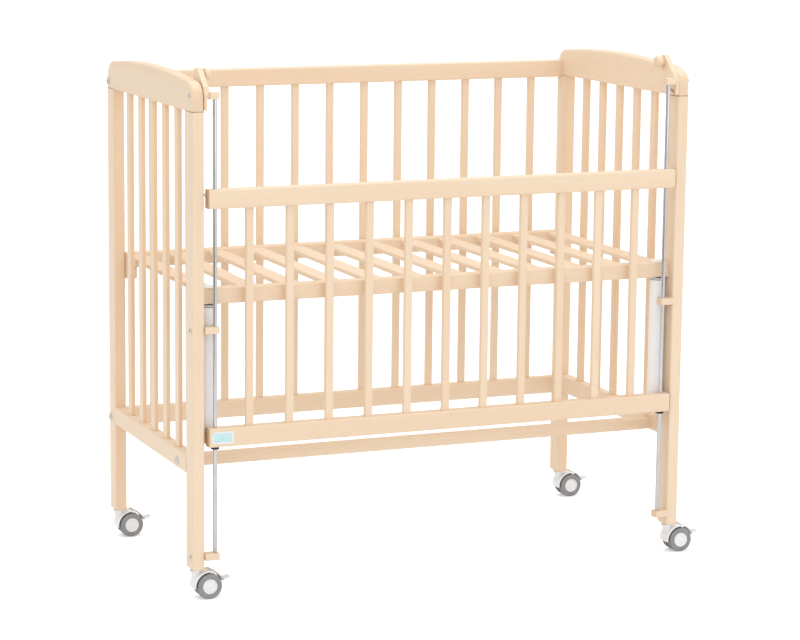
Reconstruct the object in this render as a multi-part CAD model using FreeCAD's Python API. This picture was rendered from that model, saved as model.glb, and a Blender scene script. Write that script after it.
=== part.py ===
import FreeCAD, Part
import math
import os

from FreeCAD import Vector

# Bedside sleeper crib: two slatted end panels, a slatted back, a slatted mattress base and a
# drop side that slides on two steel rods. Millimetres, +Z up, X along the length, front at -Y.

# ---------------------------------------------------------------- frame sizes
INNER_LENGTH = 901.0
POST_THICK = 22.0
POST_DEPTH = 36.5
OUTER_DEPTH = 487.0
POST_FOOT_Z = 53.0
END_CROWN_Z = 909.0
END_CROWN_RISE = 10.0
END_RAIL_H = 61.0
END_CORNER_R = 30.0
RAIL_H = 33.0
RAIL_THICK = 22.0
END_BOTTOM_RAIL_Z = 219.0
BACK_BOTTOM_RAIL_Z = 213.0
BACK_TOP_BELOW_CROWN = 31.5
EDGE_R = 3.0
TOP_EDGE_R = 5.0
FOOT_CHAMFER = 2.5
JOINT_CHAMFER = 0.8
CUT_PAST = 1.0

SLAT_W = 14.5
SLAT_T = 9.5
END_SLAT_W = 20.5
END_SLAT_T = 8.5
SLAT_EDGE_R = 2.5
SLAT_TENON = 10.0
END_SLATS = 5
END_SLAT_PITCH = 68.5
BACK_SLATS = 12
BACK_SLAT_PITCH = 70.5
DROP_SLATS = 11
DROP_SLAT_PITCH = 73.8

TENON_T = 10.0
POST_TENON_W = 12.0
POST_TENON_H = 18.0
POST_TENON_INSET = 8.5
RAIL_TENON_L = 14.0
RAIL_TENON_SHOULDER = 6.0

# ---------------------------------------------------------------- stretcher and mattress base
STRETCHER_H = 20.0
STRETCHER_D = 26.0
STRETCHER_Z = 221.5
STRETCHER_SETBACK = 70.5

BASE_RAIL_H = 28.0
BASE_TOP_Z = 544.0
BASE_FRONT_SETBACK = 17.0
BASE_SLATS = 12
BASE_SLAT_W = 34.0
BASE_SLAT_T = 8.5
BASE_SLAT_DROP = 3.0
BASE_SLAT_EDGE_R = 3.0
BASE_END_MARGIN = 1.0
BASE_BACK_GAP = 0.5

# ---------------------------------------------------------------- support tubes of the base
TUBE_R = 13.7
TUBE_WALL = 3.0
TUBE_WALL_GAP = 2.5
TUBE_OFFSET = 1.0
TIE_WALL = 1.0
RING_H = 5.0
RING_R = 14.0
CAP_H = 3.0
CAP_R = 13.5
TIE_R = 4.0
TIE_INTO_CAP = 1.5
BRACKET_TOP_Z = 294.0
BRACKET_H = 20.0
BRACKET_L = 30.0
BRACKET_W = 29.0
BACK_BRACKET_L = 20.0

# ---------------------------------------------------------------- drop side and its rods
DROP_END_CLEARANCE = 6.0
DROP_PROUD = 9.0
DROP_BOTTOM_Z = 271.0
DROP_TOP_Z = 716.5
ROD_R = 3.75
ROD_FROM_POST = 19.5
ROD_BURY = 8.0
BUSH_R = 6.0
SLIDE_CLEARANCE = 0.06
BLOCK_H = 12.0
BLOCK_W = 18.0
BLOCK_L = 25.5
BLOCK_OFFSET = 1.5
LOW_BLOCK_Z = 77.0
MIDDLE_BLOCK_Z = 474.5
COLLAR_R = 7.5
COLLAR_H = 4.5
LABEL_L = 39.0
LABEL_H = 21.0
LABEL_T = 0.6
LABEL_END_MARGIN = 4.5

# ---------------------------------------------------------------- latch levers
LATCH_PIVOT_DROP = 34.0
LEVER_PLAY = 0.2
LEVER_T = 9.5
TONGUE_T = 5.0
LEVER_PIVOT_SETBACK = 8.5
PIVOT_CLEARANCE = 0.06
PIN_R = 2.5
PIN_SLOT_CLEARANCE = 0.4
PIN_BELOW_TOP = 10.0
PIN_BURY = 7.0
PIN_REACH = 5.2
PIN_BELOW_PIVOT = 18.5
LATCH_SWING_DEG = 28.0
LEVER_HEAD_R = 12.0
LEVER_HEAD_Y = 34.0
LEVER_HEAD_Z = 32.5
HEAD_FRONT_DEG = 135.0
HEAD_BACK_DEG = -60.0
ARM_FOOT_Z = 2.0
ARM_FRONT_BEND_Y = 6.0
ARM_FRONT_BEND_Z = 15.0
ARM_BACK_BEND_Y = 5.5
ARM_BACK_BEND_Z = 13.0
TONGUE_STEP = 4.0
TONGUE_BOTTOM = 25.0
TONGUE_BEVEL = 4.0
TONGUE_NOSE = 2.0
LEVER_FRONT = 9.5
LEVER_BACK = 25.0
PEG_R = 11.0
PEG_L = 15.5
PEG_WAIST_R = 6.5
PEG_WAIST_L = 4.5
PEG_SPIGOT_R = 5.0
PEG_SPIGOT_L = 7.0
PEG_DOME_R = 4.5

# ---------------------------------------------------------------- fastenings
BOLT_R = 3.0
BOLT_HOLE_R = 3.25
BOLT_HEAD_R = 7.0
BOLT_HEAD_H = 3.0
BOLT_SOCKET_R = 2.0
BOLT_SOCKET_DEPTH = 1.5
NUT_R = 5.0
NUT_L = 14.0
NUT_FROM_END = 35.0
BOLT_PAST_NUT = 7.0
BACK_BOLT_INSET = 11.0
SCREW_R = 2.25
SCREW_HEAD_R = 4.6
SCREW_HEAD_H = 2.2
SCREW_INTO_BLOCK = 18.0
SCREW_HEAD_ROUND = 0.6
BRACKET_SCREW_R = 2.0
BRACKET_SCREW_HEAD_R = 4.0
BRACKET_SCREW_HEAD_H = 2.0
BRACKET_SCREW_INTO_POST = 14.0
BRACKET_SCREW_MARGIN = 4.5

# ---------------------------------------------------------------- casters
WHEEL_R = 22.5
TRAIL = 21.5
CORE_R = 13.2
CORE_EDGE_R = 0.6
WHEEL_Y_IN = 3.6
WHEEL_Y_OUT = 17.0
TYRE_Y_IN = 4.0
TYRE_Y_OUT = 16.2
TYRE_EDGE_R = 2.5
AXLE_R = 3.0
AXLE_HALF_L = 12.3
AXLE_CLEARANCE = 0.06
AXLE_END_GAP = 0.3
WEB_HALF_T = 3.0
WEB_BOSS_R = 6.5
GUARD_IN_R = 24.0
GUARD_OUT_R = 27.6
GUARD_HALF_W = 15.0
GUARD_FROM_DEG = 74.0
GUARD_TO_DEG = 186.0
GUARD_EDGE_R = 1.5
NECK_R = 10.5
NECK_FOOT_R = 4.5
NECK_FOOT_Z = 35.0
FLANGE_H = 1.5
FLANGE_R = 9.0
FLANGE_GAP = 0.2
STEM_R = 4.0
STEM_CLEARANCE = 0.06
STEM_UP = 28.0
STEM_DOWN = 10.0
PEDAL_PIVOT_DEG = 80.0
PEDAL_PIVOT_R = 25.9
PEDAL_BOSS_R = 2.7
PEDAL_PIN_R = 1.5
PEDAL_PIN_CLEARANCE = 0.06
PEDAL_HALF_W = 11.0
PEDAL_SIDE_GAP = 0.4
PEDAL_WINDOW_DEG = 88.0
PEDAL_WINDOW_PAST_DEG = 5.0
PEDAL_IN_R = 24.8
PEDAL_OUT_R = 27.3
PEDAL_TO_DEG = 18.0
PEDAL_TIP_X = 62.0
PEDAL_TIP_HALF_W = 9.0
PEDAL_TAB_Z = 29.0
PEDAL_TIP_RISE = 4.5
PEDAL_TIP_T = 2.5

# ---------------------------------------------------------------- derived positions
X_IN = INNER_LENGTH / 2
X_OUT = X_IN + POST_THICK
X_MID = X_IN + POST_THICK / 2
Y_FRONT = -OUTER_DEPTH / 2
Y_BACK = OUTER_DEPTH / 2
POST_Y = OUTER_DEPTH / 2 - POST_DEPTH / 2
POST_TOP_Z = END_CROWN_Z - END_RAIL_H
BACK_TOP_RAIL_Z = END_CROWN_Z - BACK_TOP_BELOW_CROWN - RAIL_H
BACK_RAIL_Y = Y_BACK - RAIL_THICK
BACK_MID_Y = Y_BACK - RAIL_THICK / 2
DROP_Y = Y_FRONT - DROP_PROUD
DROP_MID_Y = DROP_Y + RAIL_THICK / 2
DROP_END_X = X_IN - DROP_END_CLEARANCE
ROD_X = X_IN - ROD_FROM_POST
BASE_FRONT_Y = Y_FRONT + BASE_FRONT_SETBACK
BASE_BACK_Y = BACK_RAIL_Y - BASE_BACK_GAP
BASE_BOTTOM_Z = BASE_TOP_Z - BASE_RAIL_H
TUBE_X = X_IN - TUBE_WALL_GAP - RING_R
TUBE_Y = BASE_FRONT_Y + RAIL_THICK / 2 + TUBE_OFFSET
BASE_SLAT_TENON = RAIL_THICK / 2 - TUBE_OFFSET - TIE_R - TIE_WALL
PIVOT_Y = Y_FRONT + LEVER_PIVOT_SETBACK
PIVOT_Z = END_CROWN_Z - LATCH_PIVOT_DROP
BLOCK_CENTRES_Z = (LOW_BLOCK_Z, MIDDLE_BLOCK_Z, PIVOT_Z)
BLOCK_Y0 = DROP_MID_Y - BLOCK_W / 2 + BLOCK_OFFSET
LEVER_X_IN = X_IN - LEVER_T
PIN_Z = DROP_TOP_Z - PIN_BELOW_TOP
FLANGE_Z = POST_FOOT_Z - FLANGE_H
HOOD_TOP_Z = FLANGE_Z - FLANGE_GAP
CASTERS = {"fl": (-1, -1), "fr": (1, -1), "bl": (-1, 1), "br": (1, 1)}
SIDES = {"left": -1, "right": 1}

parts = {}


# ---------------------------------------------------------------- building blocks
def box(x_pair, y_pair, z_pair):
    """Axis-aligned block between three pairs of limits given in either order."""
    low = Vector(min(x_pair), min(y_pair), min(z_pair))
    high = Vector(max(x_pair), max(y_pair), max(z_pair))
    size = high - low
    return Part.makeBox(size.x, size.y, size.z, low)


def edges_along(shape, axis):
    """Straight edges of a block that run along one axis: 0, 1 or 2."""
    picked = []
    for edge in shape.Edges:
        first, last = edge.Vertexes[0].Point, edge.Vertexes[-1].Point
        delta = [abs(last[i] - first[i]) for i in range(3)]
        others = [delta[i] for i in range(3) if i != axis]
        if delta[axis] > 1.0 and max(others) < 1e-6:
            picked.append(edge)
    return picked


def bar(x_pair, y_pair, z_pair, axis, radius):
    """Block with its four long edges rounded."""
    block = box(x_pair, y_pair, z_pair)
    return block.makeFillet(radius, edges_along(block, axis))


def rod(centre, direction, radius, length):
    """Solid cylinder that starts at centre and runs along direction."""
    return Part.makeCylinder(radius, length, centre, direction)


def one(shape):
    """The single solid of a boolean result."""
    return shape.Solids[0]


def cut(host, tools):
    """Host with every tool cut away."""
    return one(host.cut(tools))


def join(first, others):
    """One solid fused from touching or overlapping solids."""
    return one(first.fuse(others).removeSplitter())


def centred(count, pitch):
    """Positions of evenly spaced pieces about zero."""
    return [(i - (count - 1) / 2) * pitch for i in range(count)]


def polar(centre, radius, degrees, y):
    """Point on a circle in the XZ plane about (x, z)."""
    angle = math.radians(degrees)
    return Vector(centre[0] + radius * math.cos(angle), y, centre[1] + radius * math.sin(angle))


def ring_sector(centre, r_in, r_out, from_deg, to_deg, half_w):
    """Curved strip about an axis along Y."""
    mid = (from_deg + to_deg) / 2
    outer = [polar(centre, r_out, a, -half_w) for a in (from_deg, mid, to_deg)]
    inner = [polar(centre, r_in, a, -half_w) for a in (to_deg, mid, from_deg)]
    edges = [
        Part.Arc(*outer).toShape(),
        Part.makeLine(outer[2], inner[0]),
        Part.Arc(*inner).toShape(),
        Part.makeLine(inner[2], outer[0]),
    ]
    return Part.Face(Part.Wire(edges)).extrude(Vector(0, 2 * half_w, 0))


def pie(centre, radius, from_deg, to_deg, half_w):
    """Sector of a disc about an axis along Y."""
    mid = (from_deg + to_deg) / 2
    hub = Vector(centre[0], -half_w, centre[1])
    rim = [polar(centre, radius, a, -half_w) for a in (from_deg, mid, to_deg)]
    edges = [Part.makeLine(hub, rim[0]), Part.Arc(*rim).toShape(), Part.makeLine(rim[2], hub)]
    return Part.Face(Part.Wire(edges)).extrude(Vector(0, 2 * half_w, 0))


def add(name, solids):
    """Store one node's solids."""
    parts[name] = solids if isinstance(solids, list) else [solids]


# ---------------------------------------------------------------- fastenings
def screw(start, sign, length, radius, head_r, head_h):
    """Round-head wood screw along X: start is under the head, sign points to the tip."""
    shank = rod(start, Vector(sign, 0, 0), radius, length)
    head = rod(start, Vector(-sign, 0, 0), head_r, head_h)
    rim = [edge for edge in head.Edges if abs(edge.BoundBox.XMin - (start.x - sign * head_h)) < 1e-6
           and edge.BoundBox.XLength < 1e-6]
    return join(head.makeFillet(head_h * SCREW_HEAD_ROUND, rim), [shank])


def rail_bolt(side, y, z):
    """Socket bolt through an end panel, with the barrel nut it pulls on. Returns both."""
    outer = Vector(side * X_OUT, y, z)
    nut_x = side * (X_IN - NUT_FROM_END)
    length = abs(outer.x - nut_x) + BOLT_PAST_NUT
    shank = rod(outer, Vector(-side, 0, 0), BOLT_R, length)
    head = rod(outer, Vector(side, 0, 0), BOLT_HEAD_R, BOLT_HEAD_H)
    face_x = outer.x + side * BOLT_HEAD_H
    rim = [edge for edge in head.Edges if abs(edge.BoundBox.XMin - face_x) < 1e-6
           and edge.BoundBox.XLength < 1e-6]
    socket = rod(Vector(face_x, y, z), Vector(-side, 0, 0), BOLT_SOCKET_R, BOLT_SOCKET_DEPTH)
    bolt = cut(join(head.makeFillet(BOLT_HEAD_H / 2, rim), [shank]), [socket])
    nut = rod(Vector(nut_x, y, z - NUT_L / 2), Vector(0, 0, 1), NUT_R, NUT_L)
    return bolt, cut(nut, [rod(outer, Vector(-side, 0, 0), BOLT_R, length)])


def rail_bolt_holes(side, y, z, bottom_z):
    """Room for a bolt in the panel and rail, and for its nut from the rail's underside."""
    length = X_OUT - X_IN + NUT_FROM_END + BOLT_PAST_NUT
    bolt_hole = rod(Vector(side * X_OUT, y, z), Vector(-side, 0, 0), BOLT_HOLE_R, length)
    nut_x = side * (X_IN - NUT_FROM_END)
    nut_hole = rod(Vector(nut_x, y, bottom_z), Vector(0, 0, 1), NUT_R, z + NUT_L / 2 - bottom_z)
    return bolt_hole, nut_hole


# ---------------------------------------------------------------- joints shared by many pieces
back_bolt_y = Y_BACK - BACK_BOLT_INSET
back_bolts = [(back_bolt_y, BACK_BOTTOM_RAIL_Z + RAIL_H / 2), (back_bolt_y, BACK_TOP_RAIL_Z + RAIL_H / 2)]
stretcher_y = (Y_FRONT + STRETCHER_SETBACK, Y_FRONT + STRETCHER_SETBACK + STRETCHER_D)
stretcher_bolt = (sum(stretcher_y) / 2, STRETCHER_Z + STRETCHER_H / 2)
bolt_sets = {
    "back_bottom": (back_bolts[0], BACK_BOTTOM_RAIL_Z),
    "back_top": (back_bolts[1], BACK_TOP_RAIL_Z),
    "stretcher": (stretcher_bolt, STRETCHER_Z),
}


def block_screw_start(side, z):
    """Where a block screw's head sits on the outer face of the panel."""
    return Vector(side * X_OUT, PIVOT_Y, z)


def block_screw(side, z):
    """Screw through a post or top rail into a rod block."""
    length = POST_THICK + SCREW_INTO_BLOCK
    return screw(block_screw_start(side, z), -side, length, SCREW_R, SCREW_HEAD_R, SCREW_HEAD_H)


def screw_hole(side, z):
    """Hole that a block screw's shank fills."""
    length = POST_THICK + SCREW_INTO_BLOCK
    return rod(block_screw_start(side, z), Vector(-side, 0, 0), SCREW_R, length)


# ---------------------------------------------------------------- end panels
def end_rail_profile():
    """Outline of an end panel's top rail in the YZ plane: arched top, rounded shoulders."""
    half = OUTER_DEPTH / 2
    chord = half - END_CORNER_R
    arch_r = (chord ** 2 + END_CROWN_RISE ** 2) / (2 * END_CROWN_RISE)
    arch_z = END_CROWN_Z - arch_r
    corner_y = half - END_CORNER_R
    corner_z = arch_z + math.sqrt((arch_r - END_CORNER_R) ** 2 - corner_y ** 2)
    lean = math.atan2(corner_y, corner_z - arch_z)
    touch = (arch_r * math.sin(lean), arch_z + arch_r * math.cos(lean))
    bend = (math.pi / 2 + lean) / 2
    corner_mid = (corner_y + END_CORNER_R * math.sin(bend), corner_z + END_CORNER_R * math.cos(bend))
    return half, corner_z, corner_mid, touch


def end_top_rail(side):
    """Top rail that caps both posts."""
    half, corner_z, corner_mid, touch = end_rail_profile()
    x = side * X_IN

    def at(y, z):
        return Vector(x, y, z)

    edges = [
        Part.makeLine(at(-half, POST_TOP_Z), at(-half, corner_z)),
        Part.Arc(at(-half, corner_z), at(-corner_mid[0], corner_mid[1]), at(-touch[0], touch[1])).toShape(),
        Part.Arc(at(-touch[0], touch[1]), at(0, END_CROWN_Z), at(touch[0], touch[1])).toShape(),
        Part.Arc(at(touch[0], touch[1]), at(corner_mid[0], corner_mid[1]), at(half, corner_z)).toShape(),
        Part.makeLine(at(half, corner_z), at(half, POST_TOP_Z)),
        Part.makeLine(at(half, POST_TOP_Z), at(-half, POST_TOP_Z)),
    ]
    blank = Part.Face(Part.Wire(edges)).extrude(Vector(side * POST_THICK, 0, 0))
    rounded = []
    for edge in blank.Edges:
        limits = edge.BoundBox
        if limits.XLength < 1e-6 and limits.ZMax > POST_TOP_Z + 1e-6:
            rounded.append(edge)
    blank = blank.makeFillet(TOP_EDGE_R, rounded)
    seam = [edge for edge in blank.Edges if edge.BoundBox.ZMax < POST_TOP_Z + 1e-6]
    return blank.makeChamfer(JOINT_CHAMFER, seam)


def post(side, depth_side):
    """Post with a tenon for the top rail and a socket for the caster's stem."""
    y_outer = depth_side * OUTER_DEPTH / 2
    y_inner = depth_side * (OUTER_DEPTH / 2 - POST_DEPTH)
    blank = bar((side * X_IN, side * X_OUT), (y_outer, y_inner), (POST_FOOT_Z, POST_TOP_Z), 2, EDGE_R)
    foot = [edge for edge in blank.Edges if edge.BoundBox.ZMax < POST_FOOT_Z + 1e-6]
    blank = blank.makeChamfer(FOOT_CHAMFER, foot)
    seam = [edge for edge in blank.Edges if edge.BoundBox.ZMin > POST_TOP_Z - 1e-6]
    blank = blank.makeChamfer(JOINT_CHAMFER, seam)
    tenon_y = depth_side * (OUTER_DEPTH / 2 - POST_DEPTH + POST_TENON_INSET)
    tenon = box(
        (side * (X_MID - TENON_T / 2), side * (X_MID + TENON_T / 2)),
        (tenon_y, tenon_y + depth_side * POST_TENON_W),
        (POST_TOP_Z, POST_TOP_Z + POST_TENON_H),
    )
    stem = rod(Vector(side * X_MID, depth_side * POST_Y, POST_FOOT_Z), Vector(0, 0, 1), STEM_R, STEM_UP)
    return cut(join(blank, [tenon]), [stem])


def end_bottom_rail(side):
    """Bottom rail between the posts, with a tenon at each end."""
    inner = OUTER_DEPTH / 2 - POST_DEPTH
    z_pair = (END_BOTTOM_RAIL_Z, END_BOTTOM_RAIL_Z + RAIL_H)
    blank = bar((side * X_IN, side * X_OUT), (-inner, inner), z_pair, 1, EDGE_R)
    tenon = box(
        (side * (X_MID - TENON_T / 2), side * (X_MID + TENON_T / 2)),
        (-inner - RAIL_TENON_L, inner + RAIL_TENON_L),
        (z_pair[0] + RAIL_TENON_SHOULDER, z_pair[1] - RAIL_TENON_SHOULDER),
    )
    return join(blank, [tenon])


def end_slats(side):
    """Upright slats of one end panel."""
    z_pair = (END_BOTTOM_RAIL_Z + RAIL_H - SLAT_TENON, POST_TOP_Z + SLAT_TENON)
    x_pair = (side * (X_MID - END_SLAT_T / 2), side * (X_MID + END_SLAT_T / 2))
    return [
        bar(x_pair, (y - END_SLAT_W / 2, y + END_SLAT_W / 2), z_pair, 2, SLAT_EDGE_R)
        for y in centred(END_SLATS, END_SLAT_PITCH)
    ]


for side_name, side in SIDES.items():
    slats = end_slats(side)
    bottom_rail = end_bottom_rail(side)
    posts = {"front": post(side, -1), "back": post(side, 1)}
    bolts = {key: rail_bolt_holes(side, *entry[0], entry[1]) for key, entry in bolt_sets.items()}
    top_tools = slats + list(posts.values()) + [bolts["back_top"][0], screw_hole(side, BLOCK_CENTRES_Z[2])]
    add("end_" + side_name + "_top_rail", cut(end_top_rail(side), top_tools))
    add("end_" + side_name + "_bottom_rail", cut(bottom_rail, slats + [bolts["stretcher"][0]]))
    add("end_" + side_name + "_slats", slats)
    front_tools = [bottom_rail] + [screw_hole(side, z) for z in BLOCK_CENTRES_Z[:2]]
    add("end_" + side_name + "_front_post", cut(posts["front"], front_tools))
    add("end_" + side_name + "_back_post", cut(posts["back"], [bottom_rail, bolts["back_bottom"][0]]))

# ---------------------------------------------------------------- back panel
back_slats = [
    bar(
        (x - SLAT_W / 2, x + SLAT_W / 2),
        (BACK_MID_Y - SLAT_T / 2, BACK_MID_Y + SLAT_T / 2),
        (BACK_BOTTOM_RAIL_Z + RAIL_H - SLAT_TENON, BACK_TOP_RAIL_Z + SLAT_TENON),
        2,
        SLAT_EDGE_R,
    )
    for x in centred(BACK_SLATS, BACK_SLAT_PITCH)
]
add("back_slats", back_slats)
for name, bottom in (("back_top", BACK_TOP_RAIL_Z), ("back_bottom", BACK_BOTTOM_RAIL_Z)):
    holes = [hole for side in SIDES.values() for hole in rail_bolt_holes(side, *bolt_sets[name][0], bottom)]
    rail = bar((-X_IN, X_IN), (BACK_RAIL_Y, Y_BACK), (bottom, bottom + RAIL_H), 0, EDGE_R)
    add(name + "_rail", cut(rail, back_slats + holes))

# ---------------------------------------------------------------- front stretcher
stretcher_z = (STRETCHER_Z, STRETCHER_Z + STRETCHER_H)
stretcher_holes = []
for side in SIDES.values():
    stretcher_holes.extend(rail_bolt_holes(side, *stretcher_bolt, STRETCHER_Z))
add("front_stretcher", cut(bar((-X_IN, X_IN), stretcher_y, stretcher_z, 0, EDGE_R), stretcher_holes))

frame_bolts = []
for side in SIDES.values():
    for (bolt_y, bolt_z), _ in bolt_sets.values():
        frame_bolts.extend(rail_bolt(side, bolt_y, bolt_z))

# ---------------------------------------------------------------- mattress base
base_z = (BASE_BOTTOM_Z, BASE_TOP_Z)
base_inner_y = (BASE_FRONT_Y + RAIL_THICK, BASE_BACK_Y - RAIL_THICK)
base_slat_pitch = (INNER_LENGTH - 2 * BASE_END_MARGIN - BASE_SLAT_W) / (BASE_SLATS - 1)
base_slats = [
    bar(
        (x - BASE_SLAT_W / 2, x + BASE_SLAT_W / 2),
        (base_inner_y[0] - BASE_SLAT_TENON, base_inner_y[1] + BASE_SLAT_TENON),
        (BASE_TOP_Z - BASE_SLAT_DROP - BASE_SLAT_T, BASE_TOP_Z - BASE_SLAT_DROP),
        1,
        BASE_SLAT_EDGE_R,
    )
    for x in centred(BASE_SLATS, base_slat_pitch)
]
add("base_slats", base_slats)
tie_bottom_z = BRACKET_TOP_Z - BRACKET_H / 2
tie_length = BASE_TOP_Z + TIE_INTO_CAP - tie_bottom_z
ties = [
    rod(Vector(side * TUBE_X, TUBE_Y, tie_bottom_z), Vector(0, 0, 1), TIE_R, tie_length)
    for side in SIDES.values()
]
front_rail = bar((-X_IN, X_IN), (BASE_FRONT_Y, BASE_FRONT_Y + RAIL_THICK), base_z, 0, EDGE_R)
back_rail = bar((-X_IN, X_IN), (BASE_BACK_Y - RAIL_THICK, BASE_BACK_Y), base_z, 0, EDGE_R)
add("base_front_rail", cut(front_rail, base_slats + ties))
add("base_back_rail", cut(back_rail, base_slats))

ring_z = BASE_BOTTOM_Z - RING_H
tubes, rings, caps, brackets, bracket_screws = [], [], [], [], []
for side, tie in zip(SIDES.values(), ties):
    foot = Vector(side * TUBE_X, TUBE_Y, BRACKET_TOP_Z)
    tube = rod(foot, Vector(0, 0, 1), TUBE_R, ring_z - BRACKET_TOP_Z)
    tubes.append(cut(tube, [rod(foot, Vector(0, 0, 1), TUBE_R - TUBE_WALL, ring_z - BRACKET_TOP_Z)]))
    rings.append(cut(rod(Vector(foot.x, foot.y, ring_z), Vector(0, 0, 1), RING_R, RING_H), [tie]))
    cap = rod(Vector(foot.x, foot.y, BASE_TOP_Z), Vector(0, 0, 1), CAP_R, CAP_H)
    cap_rim = [edge for edge in cap.Edges if edge.BoundBox.ZMin > BASE_TOP_Z + CAP_H - 1e-6]
    caps.append(cut(cap.makeFillet(CAP_H / 2, cap_rim), [tie]))
    bracket_y = (TUBE_Y - RING_R, TUBE_Y - RING_R + BRACKET_W)
    block = box((side * (X_IN - BRACKET_L), side * X_IN), bracket_y, (BRACKET_TOP_Z - BRACKET_H, BRACKET_TOP_Z))
    spots = [(BRACKET_L, bracket_y[0] + BRACKET_SCREW_MARGIN, BRACKET_TOP_Z - BRACKET_H / 2)]
    spots.append((BRACKET_L, bracket_y[1] - BRACKET_SCREW_MARGIN, BRACKET_TOP_Z - BRACKET_H / 2))
    back_y = (base_inner_y[1], BASE_BACK_Y)
    back_x = (side * (X_IN - BACK_BRACKET_L), side * X_IN)
    back_block = box(back_x, back_y, (BASE_BOTTOM_Z - BRACKET_H, BASE_BOTTOM_Z))
    back_spot = (BACK_BRACKET_L, sum(back_y) / 2, BASE_BOTTOM_Z - BRACKET_H / 2)
    screws, holes = [], []
    for reach, y, z in spots + [back_spot]:
        head = Vector(side * (X_IN - reach), y, z)
        length = reach + BRACKET_SCREW_INTO_POST
        screws.append(screw(head, side, length, BRACKET_SCREW_R, BRACKET_SCREW_HEAD_R, BRACKET_SCREW_HEAD_H))
        holes.append(rod(head, Vector(side, 0, 0), BRACKET_SCREW_R, length))
    brackets.append(cut(block, [tie] + holes[:2]))
    brackets.append(cut(back_block, holes[2:]))
    bracket_screws.extend(screws)
    side_name = "left" if side < 0 else "right"
    front_post = "end_" + side_name + "_front_post"
    back_post = "end_" + side_name + "_back_post"
    parts[front_post] = [cut(parts[front_post][0], holes[:2])]
    parts[back_post] = [cut(parts[back_post][0], holes[2:])]
add("base_support_tubes", tubes)
add("base_support_rings", rings)
add("base_support_caps", caps)
add("base_brackets", brackets)
add("frame_bolts", frame_bolts + ties)

# ---------------------------------------------------------------- guide rods and their blocks
rod_bottom_z = BLOCK_CENTRES_Z[0] + BLOCK_H / 2 - ROD_BURY
rod_top_z = BLOCK_CENTRES_Z[2] - BLOCK_H / 2 + ROD_BURY
rods = [
    rod(Vector(side * ROD_X, DROP_MID_Y, rod_bottom_z), Vector(0, 0, 1), ROD_R, rod_top_z - rod_bottom_z)
    for side in SIDES.values()
]
add("guide_rods", rods)
blocks, block_screws = [], []
for side, guide in zip(SIDES.values(), rods):
    for level, z in enumerate(BLOCK_CENTRES_Z):
        x_start = LEVER_X_IN if level == 2 else X_IN
        x_pair = (side * (X_IN - BLOCK_L), side * x_start)
        z_pair = (z - BLOCK_H / 2, z + BLOCK_H / 2)
        blank = bar(x_pair, (BLOCK_Y0, BLOCK_Y0 + BLOCK_W), z_pair, 0, EDGE_R / 2)
        blocks.append(cut(blank, [guide, screw_hole(side, z)]))
        block_screws.append(block_screw(side, z))
add("rod_blocks", blocks)
add("wood_screws", block_screws + bracket_screws)
collars = []
for side, guide in zip(SIDES.values(), rods):
    seat = Vector(side * ROD_X, DROP_MID_Y, DROP_BOTTOM_Z - COLLAR_H)
    collars.append(cut(rod(seat, Vector(0, 0, 1), COLLAR_R, COLLAR_H), [guide]))
add("stop_collars", collars)

# ---------------------------------------------------------------- drop side
drop_y = (DROP_Y, DROP_Y + RAIL_THICK)
drop_levels = {"drop_bottom_rail": DROP_BOTTOM_Z, "drop_top_rail": DROP_TOP_Z - RAIL_H}
drop_slats = [
    bar(
        (x - SLAT_W / 2, x + SLAT_W / 2),
        (DROP_MID_Y - SLAT_T / 2, DROP_MID_Y + SLAT_T / 2),
        (DROP_BOTTOM_Z + RAIL_H - SLAT_TENON, DROP_TOP_Z - RAIL_H + SLAT_TENON),
        2,
        SLAT_EDGE_R,
    )
    for x in centred(DROP_SLATS, DROP_SLAT_PITCH)
]
add("drop_slats", drop_slats)
catch_pins = [
    rod(Vector(side * (DROP_END_X - PIN_BURY), PIVOT_Y, PIN_Z), Vector(side, 0, 0), PIN_R, PIN_BURY + PIN_REACH)
    for side in SIDES.values()
]
add("catch_pins", catch_pins)
bushes = []
for name, bottom in drop_levels.items():
    rail = bar((-DROP_END_X, DROP_END_X), drop_y, (bottom, bottom + RAIL_H), 0, EDGE_R)
    tools = list(drop_slats)
    for side in SIDES.values():
        foot = Vector(side * ROD_X, DROP_MID_Y, bottom)
        outer = rod(foot, Vector(0, 0, 1), BUSH_R, RAIL_H)
        bushes.append(cut(outer, [rod(foot, Vector(0, 0, 1), ROD_R + SLIDE_CLEARANCE, RAIL_H)]))
        tools.append(outer)
    if name == "drop_top_rail":
        tools.extend(catch_pins)
    add(name, cut(rail, tools))
add("drop_bushes", bushes)
label_x = (-DROP_END_X + LABEL_END_MARGIN, -DROP_END_X + LABEL_END_MARGIN + LABEL_L)
label_z = DROP_BOTTOM_Z + (RAIL_H - LABEL_H) / 2
add("label_plate", box(label_x, (DROP_Y - LABEL_T, DROP_Y), (label_z, label_z + LABEL_H)))


# ---------------------------------------------------------------- latch levers
def plate_from(points, side, x_inner, thickness):
    """Flat piece in the YZ plane about the lever's pivot, from (y, z) points."""
    corners = [Vector(side * x_inner, PIVOT_Y + y, PIVOT_Z + z) for y, z in points]
    face = Part.Face(Part.makePolygon(corners + [corners[0]]))
    return face.extrude(Vector(side * thickness, 0, 0))


def on_head(degrees):
    """Point on the rim of the lever's round head, from its pivot."""
    angle = math.radians(degrees)
    return LEVER_HEAD_Y + LEVER_HEAD_R * math.cos(angle), LEVER_HEAD_Z + LEVER_HEAD_R * math.sin(angle)


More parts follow.
